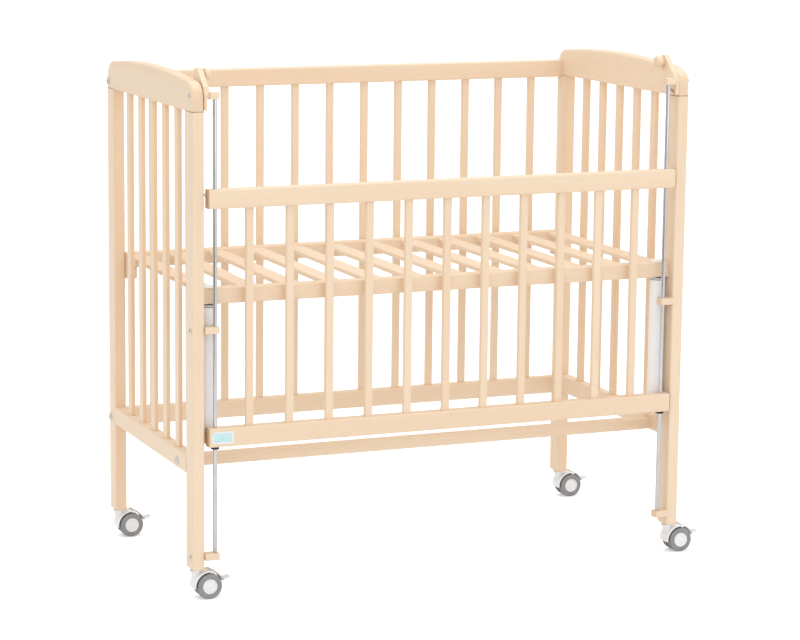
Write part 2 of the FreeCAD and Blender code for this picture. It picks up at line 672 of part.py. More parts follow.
def lever(side):
    """Latch lever: thick arm above the pivot, thin tongue with a bayonet slot below it."""
    arm_x = LEVER_X_IN + LEVER_PLAY
    arm_t = LEVER_T - 2 * LEVER_PLAY
    tongue_x = X_IN - LEVER_PLAY - TONGUE_T
    arm = [
        (-LEVER_FRONT, -TONGUE_STEP),
        (-LEVER_FRONT, ARM_FOOT_Z),
        (-LEVER_FRONT + ARM_FRONT_BEND_Y, ARM_FRONT_BEND_Z),
        on_head(HEAD_FRONT_DEG),
        (LEVER_HEAD_Y, LEVER_HEAD_Z),
        on_head(HEAD_BACK_DEG),
        (LEVER_BACK + ARM_BACK_BEND_Y, ARM_BACK_BEND_Z),
        (LEVER_BACK, -TONGUE_STEP),
    ]
    tongue = [
        (-LEVER_FRONT, -TONGUE_STEP),
        (LEVER_BACK, -TONGUE_STEP),
        (LEVER_BACK, -TONGUE_BOTTOM + TONGUE_BEVEL),
        (LEVER_BACK - TONGUE_BEVEL, -TONGUE_BOTTOM),
        (-LEVER_FRONT + TONGUE_NOSE, -TONGUE_BOTTOM),
        (-LEVER_FRONT, -TONGUE_BOTTOM + TONGUE_NOSE),
    ]
    head_at = Vector(side * arm_x, PIVOT_Y + LEVER_HEAD_Y, PIVOT_Z + LEVER_HEAD_Z)
    head = rod(head_at, Vector(side, 0, 0), LEVER_HEAD_R, arm_t)
    arm_plate = plate_from(arm, side, arm_x, arm_t)
    body = join(arm_plate, [head, plate_from(tongue, side, tongue_x, TONGUE_T)])
    slot_r = PIN_R + PIN_SLOT_CLEARANCE
    pivot = Vector(side * LEVER_X_IN, PIVOT_Y, PIVOT_Z)
    entry = box((side * LEVER_X_IN, side * X_IN), (PIVOT_Y - slot_r, PIVOT_Y + slot_r),
                (PIVOT_Z - TONGUE_BOTTOM - CUT_PAST, PIVOT_Z - PIN_BELOW_PIVOT))
    outer = rod(pivot, Vector(side, 0, 0), PIN_BELOW_PIVOT + slot_r, LEVER_T)
    inner = rod(pivot, Vector(side, 0, 0), PIN_BELOW_PIVOT - slot_r, LEVER_T)
    swing = math.radians(LATCH_SWING_DEG)
    reach = 3 * TONGUE_BOTTOM
    wedge = plate_from([(0, 0), (0, -reach), (reach * math.sin(swing), -reach * math.cos(swing))],
                       side, LEVER_X_IN, LEVER_T)
    curve = outer.cut(inner).common(wedge)
    end_y = PIVOT_Y + PIN_BELOW_PIVOT * math.sin(swing)
    end_z = PIVOT_Z - PIN_BELOW_PIVOT * math.cos(swing)
    ends = [
        rod(Vector(pivot.x, PIVOT_Y, PIVOT_Z - PIN_BELOW_PIVOT), Vector(side, 0, 0), slot_r, LEVER_T),
        rod(Vector(pivot.x, end_y, end_z), Vector(side, 0, 0), slot_r, LEVER_T),
    ]
    bore = rod(pivot, Vector(side, 0, 0), SCREW_R + PIVOT_CLEARANCE, LEVER_T)
    spigot = rod(head_at, Vector(side, 0, 0), PEG_SPIGOT_R, PEG_SPIGOT_L)
    return cut(body, [entry, curve, bore, spigot] + ends)


def peg(side):
    """Turned knob with a slim waist, a domed end and a spigot glued into the lever's head."""
    root = Vector(side * (LEVER_X_IN + LEVER_PLAY), PIVOT_Y + LEVER_HEAD_Y, PIVOT_Z + LEVER_HEAD_Z)
    inward = Vector(-side, 0, 0)
    knob = rod(root + inward * PEG_WAIST_L, inward, PEG_R, PEG_L - PEG_WAIST_L)
    tip_x = root.x - side * PEG_L
    rim = [edge for edge in knob.Edges if abs(edge.BoundBox.XMin - tip_x) < 1e-6 and edge.BoundBox.XLength < 1e-6]
    waist = rod(root, inward, PEG_WAIST_R, PEG_WAIST_L)
    spigot = rod(root, Vector(side, 0, 0), PEG_SPIGOT_R, PEG_SPIGOT_L)
    return join(knob.makeFillet(PEG_DOME_R, rim), [waist, spigot])


for side_name, side in SIDES.items():
    add("latch_" + side_name + "_lever", lever(side))
    add("latch_" + side_name + "_peg", peg(side))


# ---------------------------------------------------------------- casters
def moved(shape, x, y):
    """Copy of a caster piece set under one post."""
    copy = shape.copy()
    copy.translate(Vector(x, y, 0))
    return copy


def pedal_pivot():
    """Pedal's pivot in the XZ plane."""
    point = polar((TRAIL, WHEEL_R), PEDAL_PIVOT_R, PEDAL_PIVOT_DEG, 0)
    return point.x, point.z


def hood():
    """Caster body: guard over the wheels, web between them, ears for the pedal."""
    axle = (TRAIL, WHEEL_R)
    pivot_x, pivot_z = pedal_pivot()
    guard = ring_sector(axle, GUARD_IN_R, GUARD_OUT_R, GUARD_FROM_DEG, GUARD_TO_DEG, GUARD_HALF_W)
    rims = []
    for edge in guard.Edges:
        limits = edge.BoundBox
        middle = edge.valueAt((edge.FirstParameter + edge.LastParameter) / 2)
        radius = math.hypot(middle.x - axle[0], middle.z - axle[1])
        if limits.YLength < 1e-6 and abs(radius - GUARD_OUT_R) < 1e-6:
            rims.append(edge)
    guard = guard.makeFillet(GUARD_EDGE_R, rims)
    clear_w = PEDAL_HALF_W + PEDAL_SIDE_GAP
    window_from = GUARD_FROM_DEG - PEDAL_WINDOW_PAST_DEG
    window_r = (GUARD_IN_R - CUT_PAST, GUARD_OUT_R + CUT_PAST)
    window = ring_sector(axle, *window_r, window_from, PEDAL_WINDOW_DEG, clear_w)
    guard = guard.cut(window)
    web = pie(axle, (GUARD_IN_R + GUARD_OUT_R) / 2, PEDAL_WINDOW_DEG, GUARD_TO_DEG, WEB_HALF_T)
    neck = Part.makeCone(NECK_FOOT_R, NECK_R, HOOD_TOP_Z - NECK_FOOT_Z, Vector(0, 0, NECK_FOOT_Z))
    wheel_room = rod(Vector(TRAIL, -GUARD_HALF_W, WHEEL_R), Vector(0, 1, 0), GUARD_IN_R, 2 * GUARD_HALF_W)
    neck = cut(neck, [wheel_room])
    boss = rod(Vector(TRAIL, -WEB_HALF_T, WHEEL_R), Vector(0, 1, 0), WEB_BOSS_R, 2 * WEB_HALF_T)
    pin_half = (clear_w + GUARD_HALF_W) / 2
    pin = rod(Vector(pivot_x, -pin_half, pivot_z), Vector(0, 1, 0), PEDAL_PIN_R, 2 * pin_half)
    body = join(guard, [neck, web, boss, pin])
    stem = rod(Vector(0, 0, HOOD_TOP_Z), Vector(0, 0, -1), STEM_R + STEM_CLEARANCE, STEM_DOWN)
    axle_hole = rod(Vector(TRAIL, -WHEEL_Y_OUT, WHEEL_R), Vector(0, 1, 0), AXLE_R, 2 * WHEEL_Y_OUT)
    return cut(body, [stem, axle_hole])


def wheel_cores():
    """The two wheel centres, each with a blind bore for the axle."""
    cores = []
    for way in (-1, 1):
        width = WHEEL_Y_OUT - WHEEL_Y_IN
        core = rod(Vector(TRAIL, way * WHEEL_Y_IN, WHEEL_R), Vector(0, way, 0), CORE_R, width)
        rim = [edge for edge in core.Edges if abs(abs(edge.BoundBox.YMin) - WHEEL_Y_OUT) < 1e-6
               and edge.BoundBox.YLength < 1e-6]
        depth = AXLE_HALF_L + AXLE_END_GAP - WHEEL_Y_IN
        bore = rod(Vector(TRAIL, way * WHEEL_Y_IN, WHEEL_R), Vector(0, way, 0), AXLE_R + AXLE_CLEARANCE, depth)
        cores.append(cut(core.makeFillet(CORE_EDGE_R, rim), [bore]))
    return cores


def tyres():
    """The two tyres."""
    rings_made = []
    for way in (-1, 1):
        start = Vector(TRAIL, way * TYRE_Y_IN, WHEEL_R)
        width = TYRE_Y_OUT - TYRE_Y_IN
        tyre = rod(start, Vector(0, way, 0), WHEEL_R, width)
        rims = [edge for edge in tyre.Edges if edge.BoundBox.YLength < 1e-6]
        tyre = tyre.makeFillet(TYRE_EDGE_R, rims)
        rings_made.append(cut(tyre, [rod(start, Vector(0, way, 0), CORE_R, width)]))
    return rings_made


def pedal():
    """Brake pedal: curved arm over the wheels with a foot tab."""
    axle = (TRAIL, WHEEL_R)
    pivot_x, pivot_z = pedal_pivot()
    arm = ring_sector(axle, PEDAL_IN_R, PEDAL_OUT_R, PEDAL_TO_DEG, PEDAL_PIVOT_DEG, PEDAL_HALF_W)
    boss = rod(Vector(pivot_x, -PEDAL_HALF_W, pivot_z), Vector(0, 1, 0), PEDAL_BOSS_R, 2 * PEDAL_HALF_W)
    root_x = polar(axle, (PEDAL_IN_R + PEDAL_OUT_R) / 2, PEDAL_TO_DEG, 0).x
    tip_z = PEDAL_TAB_Z + PEDAL_TIP_RISE
    outline = [
        Vector(root_x, -PEDAL_TIP_HALF_W, PEDAL_TAB_Z),
        Vector(PEDAL_TIP_X, -PEDAL_TIP_HALF_W, tip_z),
        Vector(PEDAL_TIP_X, -PEDAL_TIP_HALF_W, tip_z + PEDAL_TIP_T),
        Vector(root_x, -PEDAL_TIP_HALF_W, PEDAL_TAB_Z + PEDAL_TIP_T),
    ]
    tab = Part.Face(Part.makePolygon(outline + outline[:1])).extrude(Vector(0, 2 * PEDAL_TIP_HALF_W, 0))
    corners = [edge for edge in edges_along(tab, 2) if edge.BoundBox.XMin > PEDAL_TIP_X - 1e-6]
    tab = tab.makeFillet(PEDAL_TIP_HALF_W / 2, corners)
    bore_r = PEDAL_PIN_R + PEDAL_PIN_CLEARANCE
    bore = rod(Vector(pivot_x, -PEDAL_HALF_W, pivot_z), Vector(0, 1, 0), bore_r, 2 * PEDAL_HALF_W)
    return cut(join(arm, [boss, tab]), [bore])


stem_blank = rod(Vector(0, 0, HOOD_TOP_Z - STEM_DOWN + FLANGE_GAP), Vector(0, 0, 1), STEM_R,
                 POST_FOOT_Z + STEM_UP - (HOOD_TOP_Z - STEM_DOWN + FLANGE_GAP))
stem_shape = join(stem_blank, [rod(Vector(0, 0, FLANGE_Z), Vector(0, 0, 1), FLANGE_R, FLANGE_H)])
axle_shape = rod(Vector(TRAIL, -AXLE_HALF_L, WHEEL_R), Vector(0, 1, 0), AXLE_R, 2 * AXLE_HALF_L)
pieces = {
    "hood": [hood()],
    "axle": [axle_shape],
    "wheels": wheel_cores(),
    "tyres": tyres(),
    "pedal": [pedal()],
}
stems = []
for corner, (side, depth_side) in CASTERS.items():
    spot = (side * X_MID, depth_side * POST_Y)
    stems.append(moved(stem_shape, *spot))
    for piece, shapes in pieces.items():
        add("caster_" + corner + "_" + piece, [moved(shape, *spot) for shape in shapes])
add("caster_stems", stems)

# ---------------------------------------------------------------- common origin and export
reach_right = X_MID + PEDAL_TIP_X
reach_left = X_OUT + BOLT_HEAD_H
origin = Vector((reach_right - reach_left) / 2, (Y_BACK + DROP_Y - LABEL_T) / 2, 0)
os.makedirs("parts", exist_ok=True)
for name, solids in parts.items():
    shape = solids[0] if len(solids) == 1 else Part.makeCompound(solids)
    placed = shape.copy()
    placed.translate(origin.negative())
    placed.exportStep("parts/" + name + ".step")
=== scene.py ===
"""Looks of a bedside sleeper crib: pale beech, steel rods, latches and braked twin-wheel casters."""

import logging
import math
from dataclasses import dataclass
from enum import Enum
from typing import Callable, Optional, Union

import bmesh
import bpy
from mathutils import Matrix, Vector


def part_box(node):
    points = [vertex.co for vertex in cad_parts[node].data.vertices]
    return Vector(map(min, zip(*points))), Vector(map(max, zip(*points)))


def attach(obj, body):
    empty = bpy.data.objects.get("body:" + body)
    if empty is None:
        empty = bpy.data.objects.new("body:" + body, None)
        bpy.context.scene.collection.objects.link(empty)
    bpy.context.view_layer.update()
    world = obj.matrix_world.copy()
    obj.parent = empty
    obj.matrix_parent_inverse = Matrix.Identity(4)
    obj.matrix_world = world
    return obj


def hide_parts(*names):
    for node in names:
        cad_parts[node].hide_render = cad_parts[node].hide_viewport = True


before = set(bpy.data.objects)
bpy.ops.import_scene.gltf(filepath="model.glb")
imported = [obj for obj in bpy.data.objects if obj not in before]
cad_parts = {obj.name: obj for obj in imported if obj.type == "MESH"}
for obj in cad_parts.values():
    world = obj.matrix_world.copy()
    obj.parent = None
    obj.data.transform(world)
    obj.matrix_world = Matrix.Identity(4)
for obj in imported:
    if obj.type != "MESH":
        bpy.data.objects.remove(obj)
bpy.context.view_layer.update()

MM = 0.001
SKIN_DEPTH = 0.1 * MM
WELD = 1e-6
UP = Vector((0, 0, 1))
SQUARE_ON = (0.8, 0.95)
LOG = logging.getLogger("crib")
Number = Union[float, "Maths"]
Colour = tuple[float, float, float, float]
Outline = list[tuple[float, float]]
Socket = bpy.types.NodeSocket


class Grain(Enum):
    """The axis that a piece of wood's fibres run along."""

    ALONG_X = Vector((1, 0, 0))
    ALONG_Y = Vector((0, 1, 0))
    ALONG_Z = Vector((0, 0, 1))


class Corner(Enum):
    """The four casters, by the names their bodies carry."""

    FRONT_LEFT = "fl"
    FRONT_RIGHT = "fr"
    BACK_LEFT = "bl"
    BACK_RIGHT = "br"


class End(Enum):
    """The two ends of the crib: name in the frame and direction along X."""

    LEFT = ("left", -1)
    RIGHT = ("right", 1)

    @property
    def word(self) -> str:
        """The end's name."""
        return self.value[0]

    @property
    def way(self) -> int:
        """Direction from the middle of the crib to this end."""
        return self.value[1]


# ------------------------------------------------------------------ shader maths
class Maths:
    """A number on a node's socket, used in Python expressions that add Math nodes."""

    def __init__(self, shader: "Shader", socket: Socket) -> None:
        """Wraps one output socket.

        Args:
            shader: The material whose tree holds the socket.
            socket: The output that carries the number.
        """
        self.shader = shader
        self.socket = socket

    def _run(self, operation: str, first: Number, second: Number = 0.0) -> "Maths":
        """Adds one Math node.

        Args:
            operation: The Math node's operation.
            first: The first operand.
            second: The second operand.

        Returns:
            The node's result.
        """
        node = self.shader.node("ShaderNodeMath", {"operation": operation}, {0: first, 1: second})
        return Maths(self.shader, node.outputs[0])

    def __add__(self, other: Number) -> "Maths":
        """Sum."""
        return self._run("ADD", self, other)

    __radd__ = __add__

    def __sub__(self, other: Number) -> "Maths":
        """Difference."""
        return self._run("SUBTRACT", self, other)

    def __rsub__(self, other: Number) -> "Maths":
        """Difference with this value taken away."""
        return self._run("SUBTRACT", other, self)

    def __mul__(self, other: Number) -> "Maths":
        """Product."""
        return self._run("MULTIPLY", self, other)

    __rmul__ = __mul__

    def __truediv__(self, other: Number) -> "Maths":
        """Quotient."""
        return self._run("DIVIDE", self, other)

    def __gt__(self, other: Number) -> "Maths":
        """One where this value is larger, else zero."""
        return self._run("GREATER_THAN", self, other)

    def __abs__(self) -> "Maths":
        """Size without the sign."""
        return self._run("ABSOLUTE", self)

    def floor(self) -> "Maths":
        """Next whole number down."""
        return self._run("FLOOR", self)

    def ramp(self, low: float, high: float) -> "Maths":
        """Smooth step from 0 at low to 1 at high.

        Args:
            low: Value that gives 0.
            high: Value that gives 1.

        Returns:
            The stepped value.
        """
        settings = {"interpolation_type": "SMOOTHSTEP", "clamp": True}
        node = self.shader.node("ShaderNodeMapRange", settings, {0: self, 1: low, 2: high, 3: 0.0, 4: 1.0})
        return Maths(self.shader, node.outputs[0])


class Shader:
    """The node tree of one material or world, with a single way to make its nodes."""

    def __init__(self, owner: Union[bpy.types.Material, bpy.types.World]) -> None:
        """Empties the tree.

        Args:
            owner: The material or world to build.
        """
        owner.use_nodes = True
        self.owner = owner
        self.tree = owner.node_tree
        self.tree.nodes.clear()

    @classmethod
    def material(cls, name: str) -> "Shader":
        """Starts a new material.

        Args:
            name: The material's name.

        Returns:
            Its empty shader.
        """
        return cls(bpy.data.materials.new(name))

    def node(self, kind: str, settings: Optional[dict] = None,
             sockets: Optional[dict] = None) -> bpy.types.Node:
        """Makes one node.

        Args:
            kind: The node's type.
            settings: Properties that are set first.
            sockets: Value, link or Maths for each input, by name or index.

        Returns:
            The new node.
        """
        made = self.tree.nodes.new(kind)
        for name, value in (settings or {}).items():
            setattr(made, name, value)
        for key, value in (sockets or {}).items():
            if isinstance(value, Maths):
                value = value.socket
            if isinstance(value, Socket):
                self.tree.links.new(value, made.inputs[key])
            else:
                made.inputs[key].default_value = value
        return made

    def place(self) -> Socket:
        """Object coordinates."""
        return self.node("ShaderNodeTexCoord").outputs["Object"]

    def facing(self) -> Socket:
        """Surface normal in object space."""
        return self.node("ShaderNodeTexCoord").outputs["Normal"]

    def toward(self, axis: Vector) -> Maths:
        """One on faces that look along an axis either way, zero on the others.

        Args:
            axis: The axis.

        Returns:
            The mask.
        """
        dot = self.node("ShaderNodeVectorMath", {"operation": "DOT_PRODUCT"}, {0: self.facing(), 1: axis})
        return abs(Maths(self, dot.outputs["Value"])).ramp(*SQUARE_ON)

    def parts_of(self, vector: Socket) -> list[Maths]:
        """The X, Y and Z of a vector.

        Args:
            vector: The vector's socket.

        Returns:
            Three numbers.
        """
        return [Maths(self, out) for out in self.node("ShaderNodeSeparateXYZ", {}, {0: vector}).outputs]

    def stretched(self, vector: Socket, scale: Vector, shift: Vector) -> Socket:
        """Scaled and shifted coordinates.

        Args:
            vector: Coordinates to change.
            scale: Factor on each axis.
            shift: Added after scaling.

        Returns:
            The new coordinates.
        """
        made = self.node("ShaderNodeMapping", {}, {"Vector": vector, "Scale": scale, "Location": shift})
        return made.outputs[0]

    def noise(self, vector: Socket, scale: float, detail: float = 2.0) -> Maths:
        """Soft noise between 0 and 1.

        Args:
            vector: Coordinates.
            scale: Size of the pattern per metre.
            detail: Octaves.

        Returns:
            The noise.
        """
        made = self.node("ShaderNodeTexNoise", {}, {"Vector": vector, "Scale": scale, "Detail": detail})
        return Maths(self, made.outputs[0])

    def blend(self, factor: Number, first: Union[Colour, Socket], second: Union[Colour, Socket]) -> Socket:
        """Mix of two colours.

        Args:
            factor: 0 gives the first colour, 1 the second.
            first: First colour.
            second: Second colour.

        Returns:
            The mixed colour.
        """
        made = self.node("ShaderNodeMix", {"data_type": "RGBA"}, {0: factor, 6: first, 7: second})
        return made.outputs[2]

    def bump(self, height: Maths, strength: float, depth: float) -> Socket:
        """Normal that follows a height.

        Args:
            height: Height between 0 and 1.
            strength: How strongly it shows.
            depth: Depth in metres.

        Returns:
            The normal's socket.
        """
        made = self.node("ShaderNodeBump", {}, {"Strength": strength, "Distance": depth, "Height": height})
        return made.outputs[0]

    def surface(self, sockets: dict) -> bpy.types.Material:
        """Ends the tree with a Principled surface.

        Args:
            sockets: The Principled node's inputs.

        Returns:
            The finished material.
        """
        skin = self.node("ShaderNodeBsdfPrincipled", {}, sockets)
        self.node("ShaderNodeOutputMaterial", {}, {0: skin.outputs[0]})
        return self.owner


# ------------------------------------------------------------------ finishes
@dataclass(frozen=True)
class Beech:
    """Clear-varnished pale beech: soft figure, short dark flecks and darker end grain; where asked, painted
    shade on the faces that look along Y.

    A pitch tells apart the boards of one node that repeat along an axis, so that no two look alike.
    """

    grain: Grain
    tone: float = 0.0
    pitch: float = 0.0
    pitch_axis: int = 0
    light: Colour = (0.85, 0.68, 0.505, 1.0)
    deep: Colour = (0.80, 0.60, 0.415, 1.0)
    fleck: Colour = (0.58, 0.38, 0.22, 1.0)
    end: Colour = (0.74, 0.54, 0.35, 1.0)
    end_mix: float = 0.5
    # Painted shade: a warmer, darker orange on faces that look along Y, standing in for shade and warm
    # bounce light on those sides.
    flank: Colour = (0.80, 0.53, 0.32, 1.0)
    flank_shade_mix: float = 0.0
    figure_size: float = 26.0
    figure_fade: tuple[float, float] = (0.3, 0.72)
    figure_mix: float = 0.5
    tone_mix: float = 0.35
    fibre_size: float = 620.0
    fibre_fade: tuple[float, float] = (0.35, 0.75)
    fibre_mix: float = 0.12
    fibre_high: float = 0.6
    fleck_size: float = 420.0
    fleck_fade: tuple[float, float] = (0.64, 0.72)
    fleck_mix: float = 0.15
    fleck_low: float = 0.7
    stretch: float = 0.07
    board_jumps: tuple[float, float, float] = (3.1, 5.3, 7.7)
    tone_jumps: tuple[float, float, float] = (3.7, 2.3, 5.1)
    rough: float = 0.4
    fibre_rough: float = 0.14
    end_rough: float = 0.15
    relief: float = 0.12
    relief_depth: float = 0.2 * MM
    varnish: float = 0.12
    varnish_rough: float = 0.25

    def build(self, name: str) -> bpy.types.Material:
        """Makes the wood for one node.

        Args:
            name: The material's name.

        Returns:
            The material.
        """
        shader = Shader.material(name)
        place = shader.place()
        vary: Number = self.tone
        if self.pitch:
            cell = (shader.parts_of(place)[self.pitch_axis] / self.pitch + self.tone).floor()
            dice = shader.node("ShaderNodeTexWhiteNoise", {"noise_dimensions": "1D"}, {"W": cell})
            vary = Maths(shader, dice.outputs[0])
            jumps = {axis: vary * jump for axis, jump in enumerate(self.board_jumps)}
            moved = shader.node("ShaderNodeCombineXYZ", {}, jumps).outputs[0]
            added = shader.node("ShaderNodeVectorMath", {"operation": "ADD"}, {0: place, 1: moved})
            place = added.outputs[0]
        along = self.grain.value
        squeeze = Vector([self.stretch if part else 1.0 for part in along])
        shift = Vector([self.tone * jump for jump in self.tone_jumps])
        fibres = shader.stretched(place, squeeze, shift)
        figure = shader.noise(fibres, self.figure_size, 4.0).ramp(*self.figure_fade)
        fibre = shader.noise(fibres, self.fibre_size)
        flecks = shader.noise(fibres, self.fleck_size, 1.0).ramp(*self.fleck_fade)
        cut_end = shader.toward(along)
        body = shader.blend(figure * self.figure_mix + vary * self.tone_mix, self.light, self.deep)
        body = shader.blend(fibre.ramp(*self.fibre_fade) * self.fibre_mix, body, self.deep)
        body = shader.blend(flecks * self.fleck_mix, body, self.fleck)
        # Painted shade on the faces that look along Y.
        if self.flank_shade_mix:
            shaded_flanks = shader.toward(Grain.ALONG_Y.value)
            body = shader.blend(shaded_flanks * self.flank_shade_mix, body, self.flank)
        body = shader.blend(cut_end * self.end_mix, body, self.end)
        return shader.surface({
            "Base Color": body,
            "Roughness": self.rough + fibre * self.fibre_rough + cut_end * self.end_rough,
            "Normal": shader.bump(fibre * self.fibre_high - flecks * self.fleck_low, self.relief,
                                  self.relief_depth),
            "Coat Weight": self.varnish,
            "Coat Roughness": self.varnish_rough,
        })


@dataclass(frozen=True)
class Metal:
    """Bare or plated steel with fine drawing lines."""

    colour: Colour
    dull: Colour
    rough: float = 0.22
    metallic: float = 1.0
    lines: float = 900.0
    stretch: float = 0.02
    line_rough: float = 0.08
    cloud_size: float = 45.0
    cloud_fade: tuple[float, float] = (0.35, 0.7)
    cloud_mix: float = 0.5
    cloud_rough: float = 0.06
    relief: float = 0.05

    def build(self, name: str) -> bpy.types.Material:
        """Makes the metal.

        Args:
            name: The material's name.

        Returns:
            The material.
        """
        shader = Shader.material(name)
        place = shader.place()
        along = shader.stretched(place, Vector((1, 1, self.stretch)), Vector())
        drawn = shader.noise(along, self.lines)
        cloud = shader.noise(place, self.cloud_size, 3.0).ramp(*self.cloud_fade)
        return shader.surface({
            "Base Color": shader.blend(cloud * self.cloud_mix, self.colour, self.dull),
            "Metallic": self.metallic,
            "Roughness": self.rough + drawn * self.line_rough + cloud * self.cloud_rough,
            "Normal": shader.bump(drawn, self.relief, SKIN_DEPTH),
        })


@dataclass(frozen=True)
class Band:
    """The stretch of one axis in which a piece takes a second colour."""

    axis: int
    low: float
    high: float
    colour: Colour

    def mask(self, shader: Shader) -> Maths:
        """One inside the stretch, zero outside.

        Args:
            shader: The material that asks.

        Returns:
            The mask.
        """
        along = shader.parts_of(shader.place())[self.axis]
        return (along > self.low) * (1 - (along > self.high))


@dataclass(frozen=True)
class Moulded:
    """Moulded plastic or rubber with a fine skin and slight unevenness."""

    colour: Colour
    shade: Colour
    rough: float = 0.4
    skin: float = 0.08
    skin_size: float = 1400.0
    skin_mix: float = 0.2
    skin_rough: float = 0.06
    cloud_size: float = 60.0
    cloud_fade: tuple[float, float] = (0.35, 0.75)
    cloud_mix: float = 0.6
    cloud_rough: float = 0.08
    coat: float = 0.0
    bands: tuple[Band, ...] = ()

    def build(self, name: str) -> bpy.types.Material:
        """Makes the plastic.

        Args:
            name: The material's name.

        Returns:
            The material.
        """
        shader = Shader.material(name)
        place = shader.place()
        skin = shader.noise(place, self.skin_size)
        cloud = shader.noise(place, self.cloud_size, 3.0).ramp(*self.cloud_fade)
        body = shader.blend(cloud * self.cloud_mix + skin * self.skin_mix, self.colour, self.shade)
        for band in self.bands:
            body = shader.blend(band.mask(shader), body, band.colour)
        return shader.surface({
            "Base Color": body,
            "Roughness": self.rough + cloud * self.cloud_rough + skin * self.skin_rough,
            "Normal": shader.bump(skin, self.skin, SKIN_DEPTH),
            "Coat Weight": self.coat,
        })


def grey(level: float) -> Colour:
    """Neutral colour of one level."""
    return level, level, level, 1.0


class Finishes:
    """The finishes that more than one piece shares."""

    def __init__(self) -> None:
        """Builds every shared material."""
        steel = Metal((0.66, 0.66, 0.68, 1.0), (0.56, 0.56, 0.58, 1.0), rough=0.12)
        plate = Metal((0.72, 0.70, 0.67, 1.0), (0.60, 0.58, 0.55, 1.0), rough=0.38, metallic=0.6)
        rubber = Moulded(grey(0.035), grey(0.06), rough=0.62, skin=0.2)
        tread = Moulded((0.25, 0.25, 0.26, 1.0), (0.33, 0.33, 0.34, 1.0), rough=0.6, skin=0.25,
                        skin_size=900.0)
        white = Moulded(grey(0.86), (0.81, 0.82, 0.83, 1.0), rough=0.28, skin=0.03, skin_size=1800.0,
                        coat=0.2)
        hub = Moulded((0.84, 0.84, 0.845, 1.0), (0.79, 0.79, 0.795, 1.0), rough=0.38, skin=0.05)
        tube = Moulded((0.95, 0.955, 0.98, 1.0), (0.92, 0.93, 0.955, 1.0), rough=0.3, skin=0.04)
        # Painted shade for the recesses in screw and bolt heads.
        dark = Moulded(grey(0.03), grey(0.05), rough=0.5, skin=0.02)
        self.rod_steel = steel.build("drawn_steel")
        self.plated = plate.build("plated_steel")
        self.rubber = rubber.build("black_rubber")
        self.tyre = tread.build("tyre_rubber")
        self.white = white.build("white_plastic")
        self.hub = hub.build("hub_plastic")
        self.tube = tube.build("tube_plastic")
        self.recess = dark.build("recess_shadow")


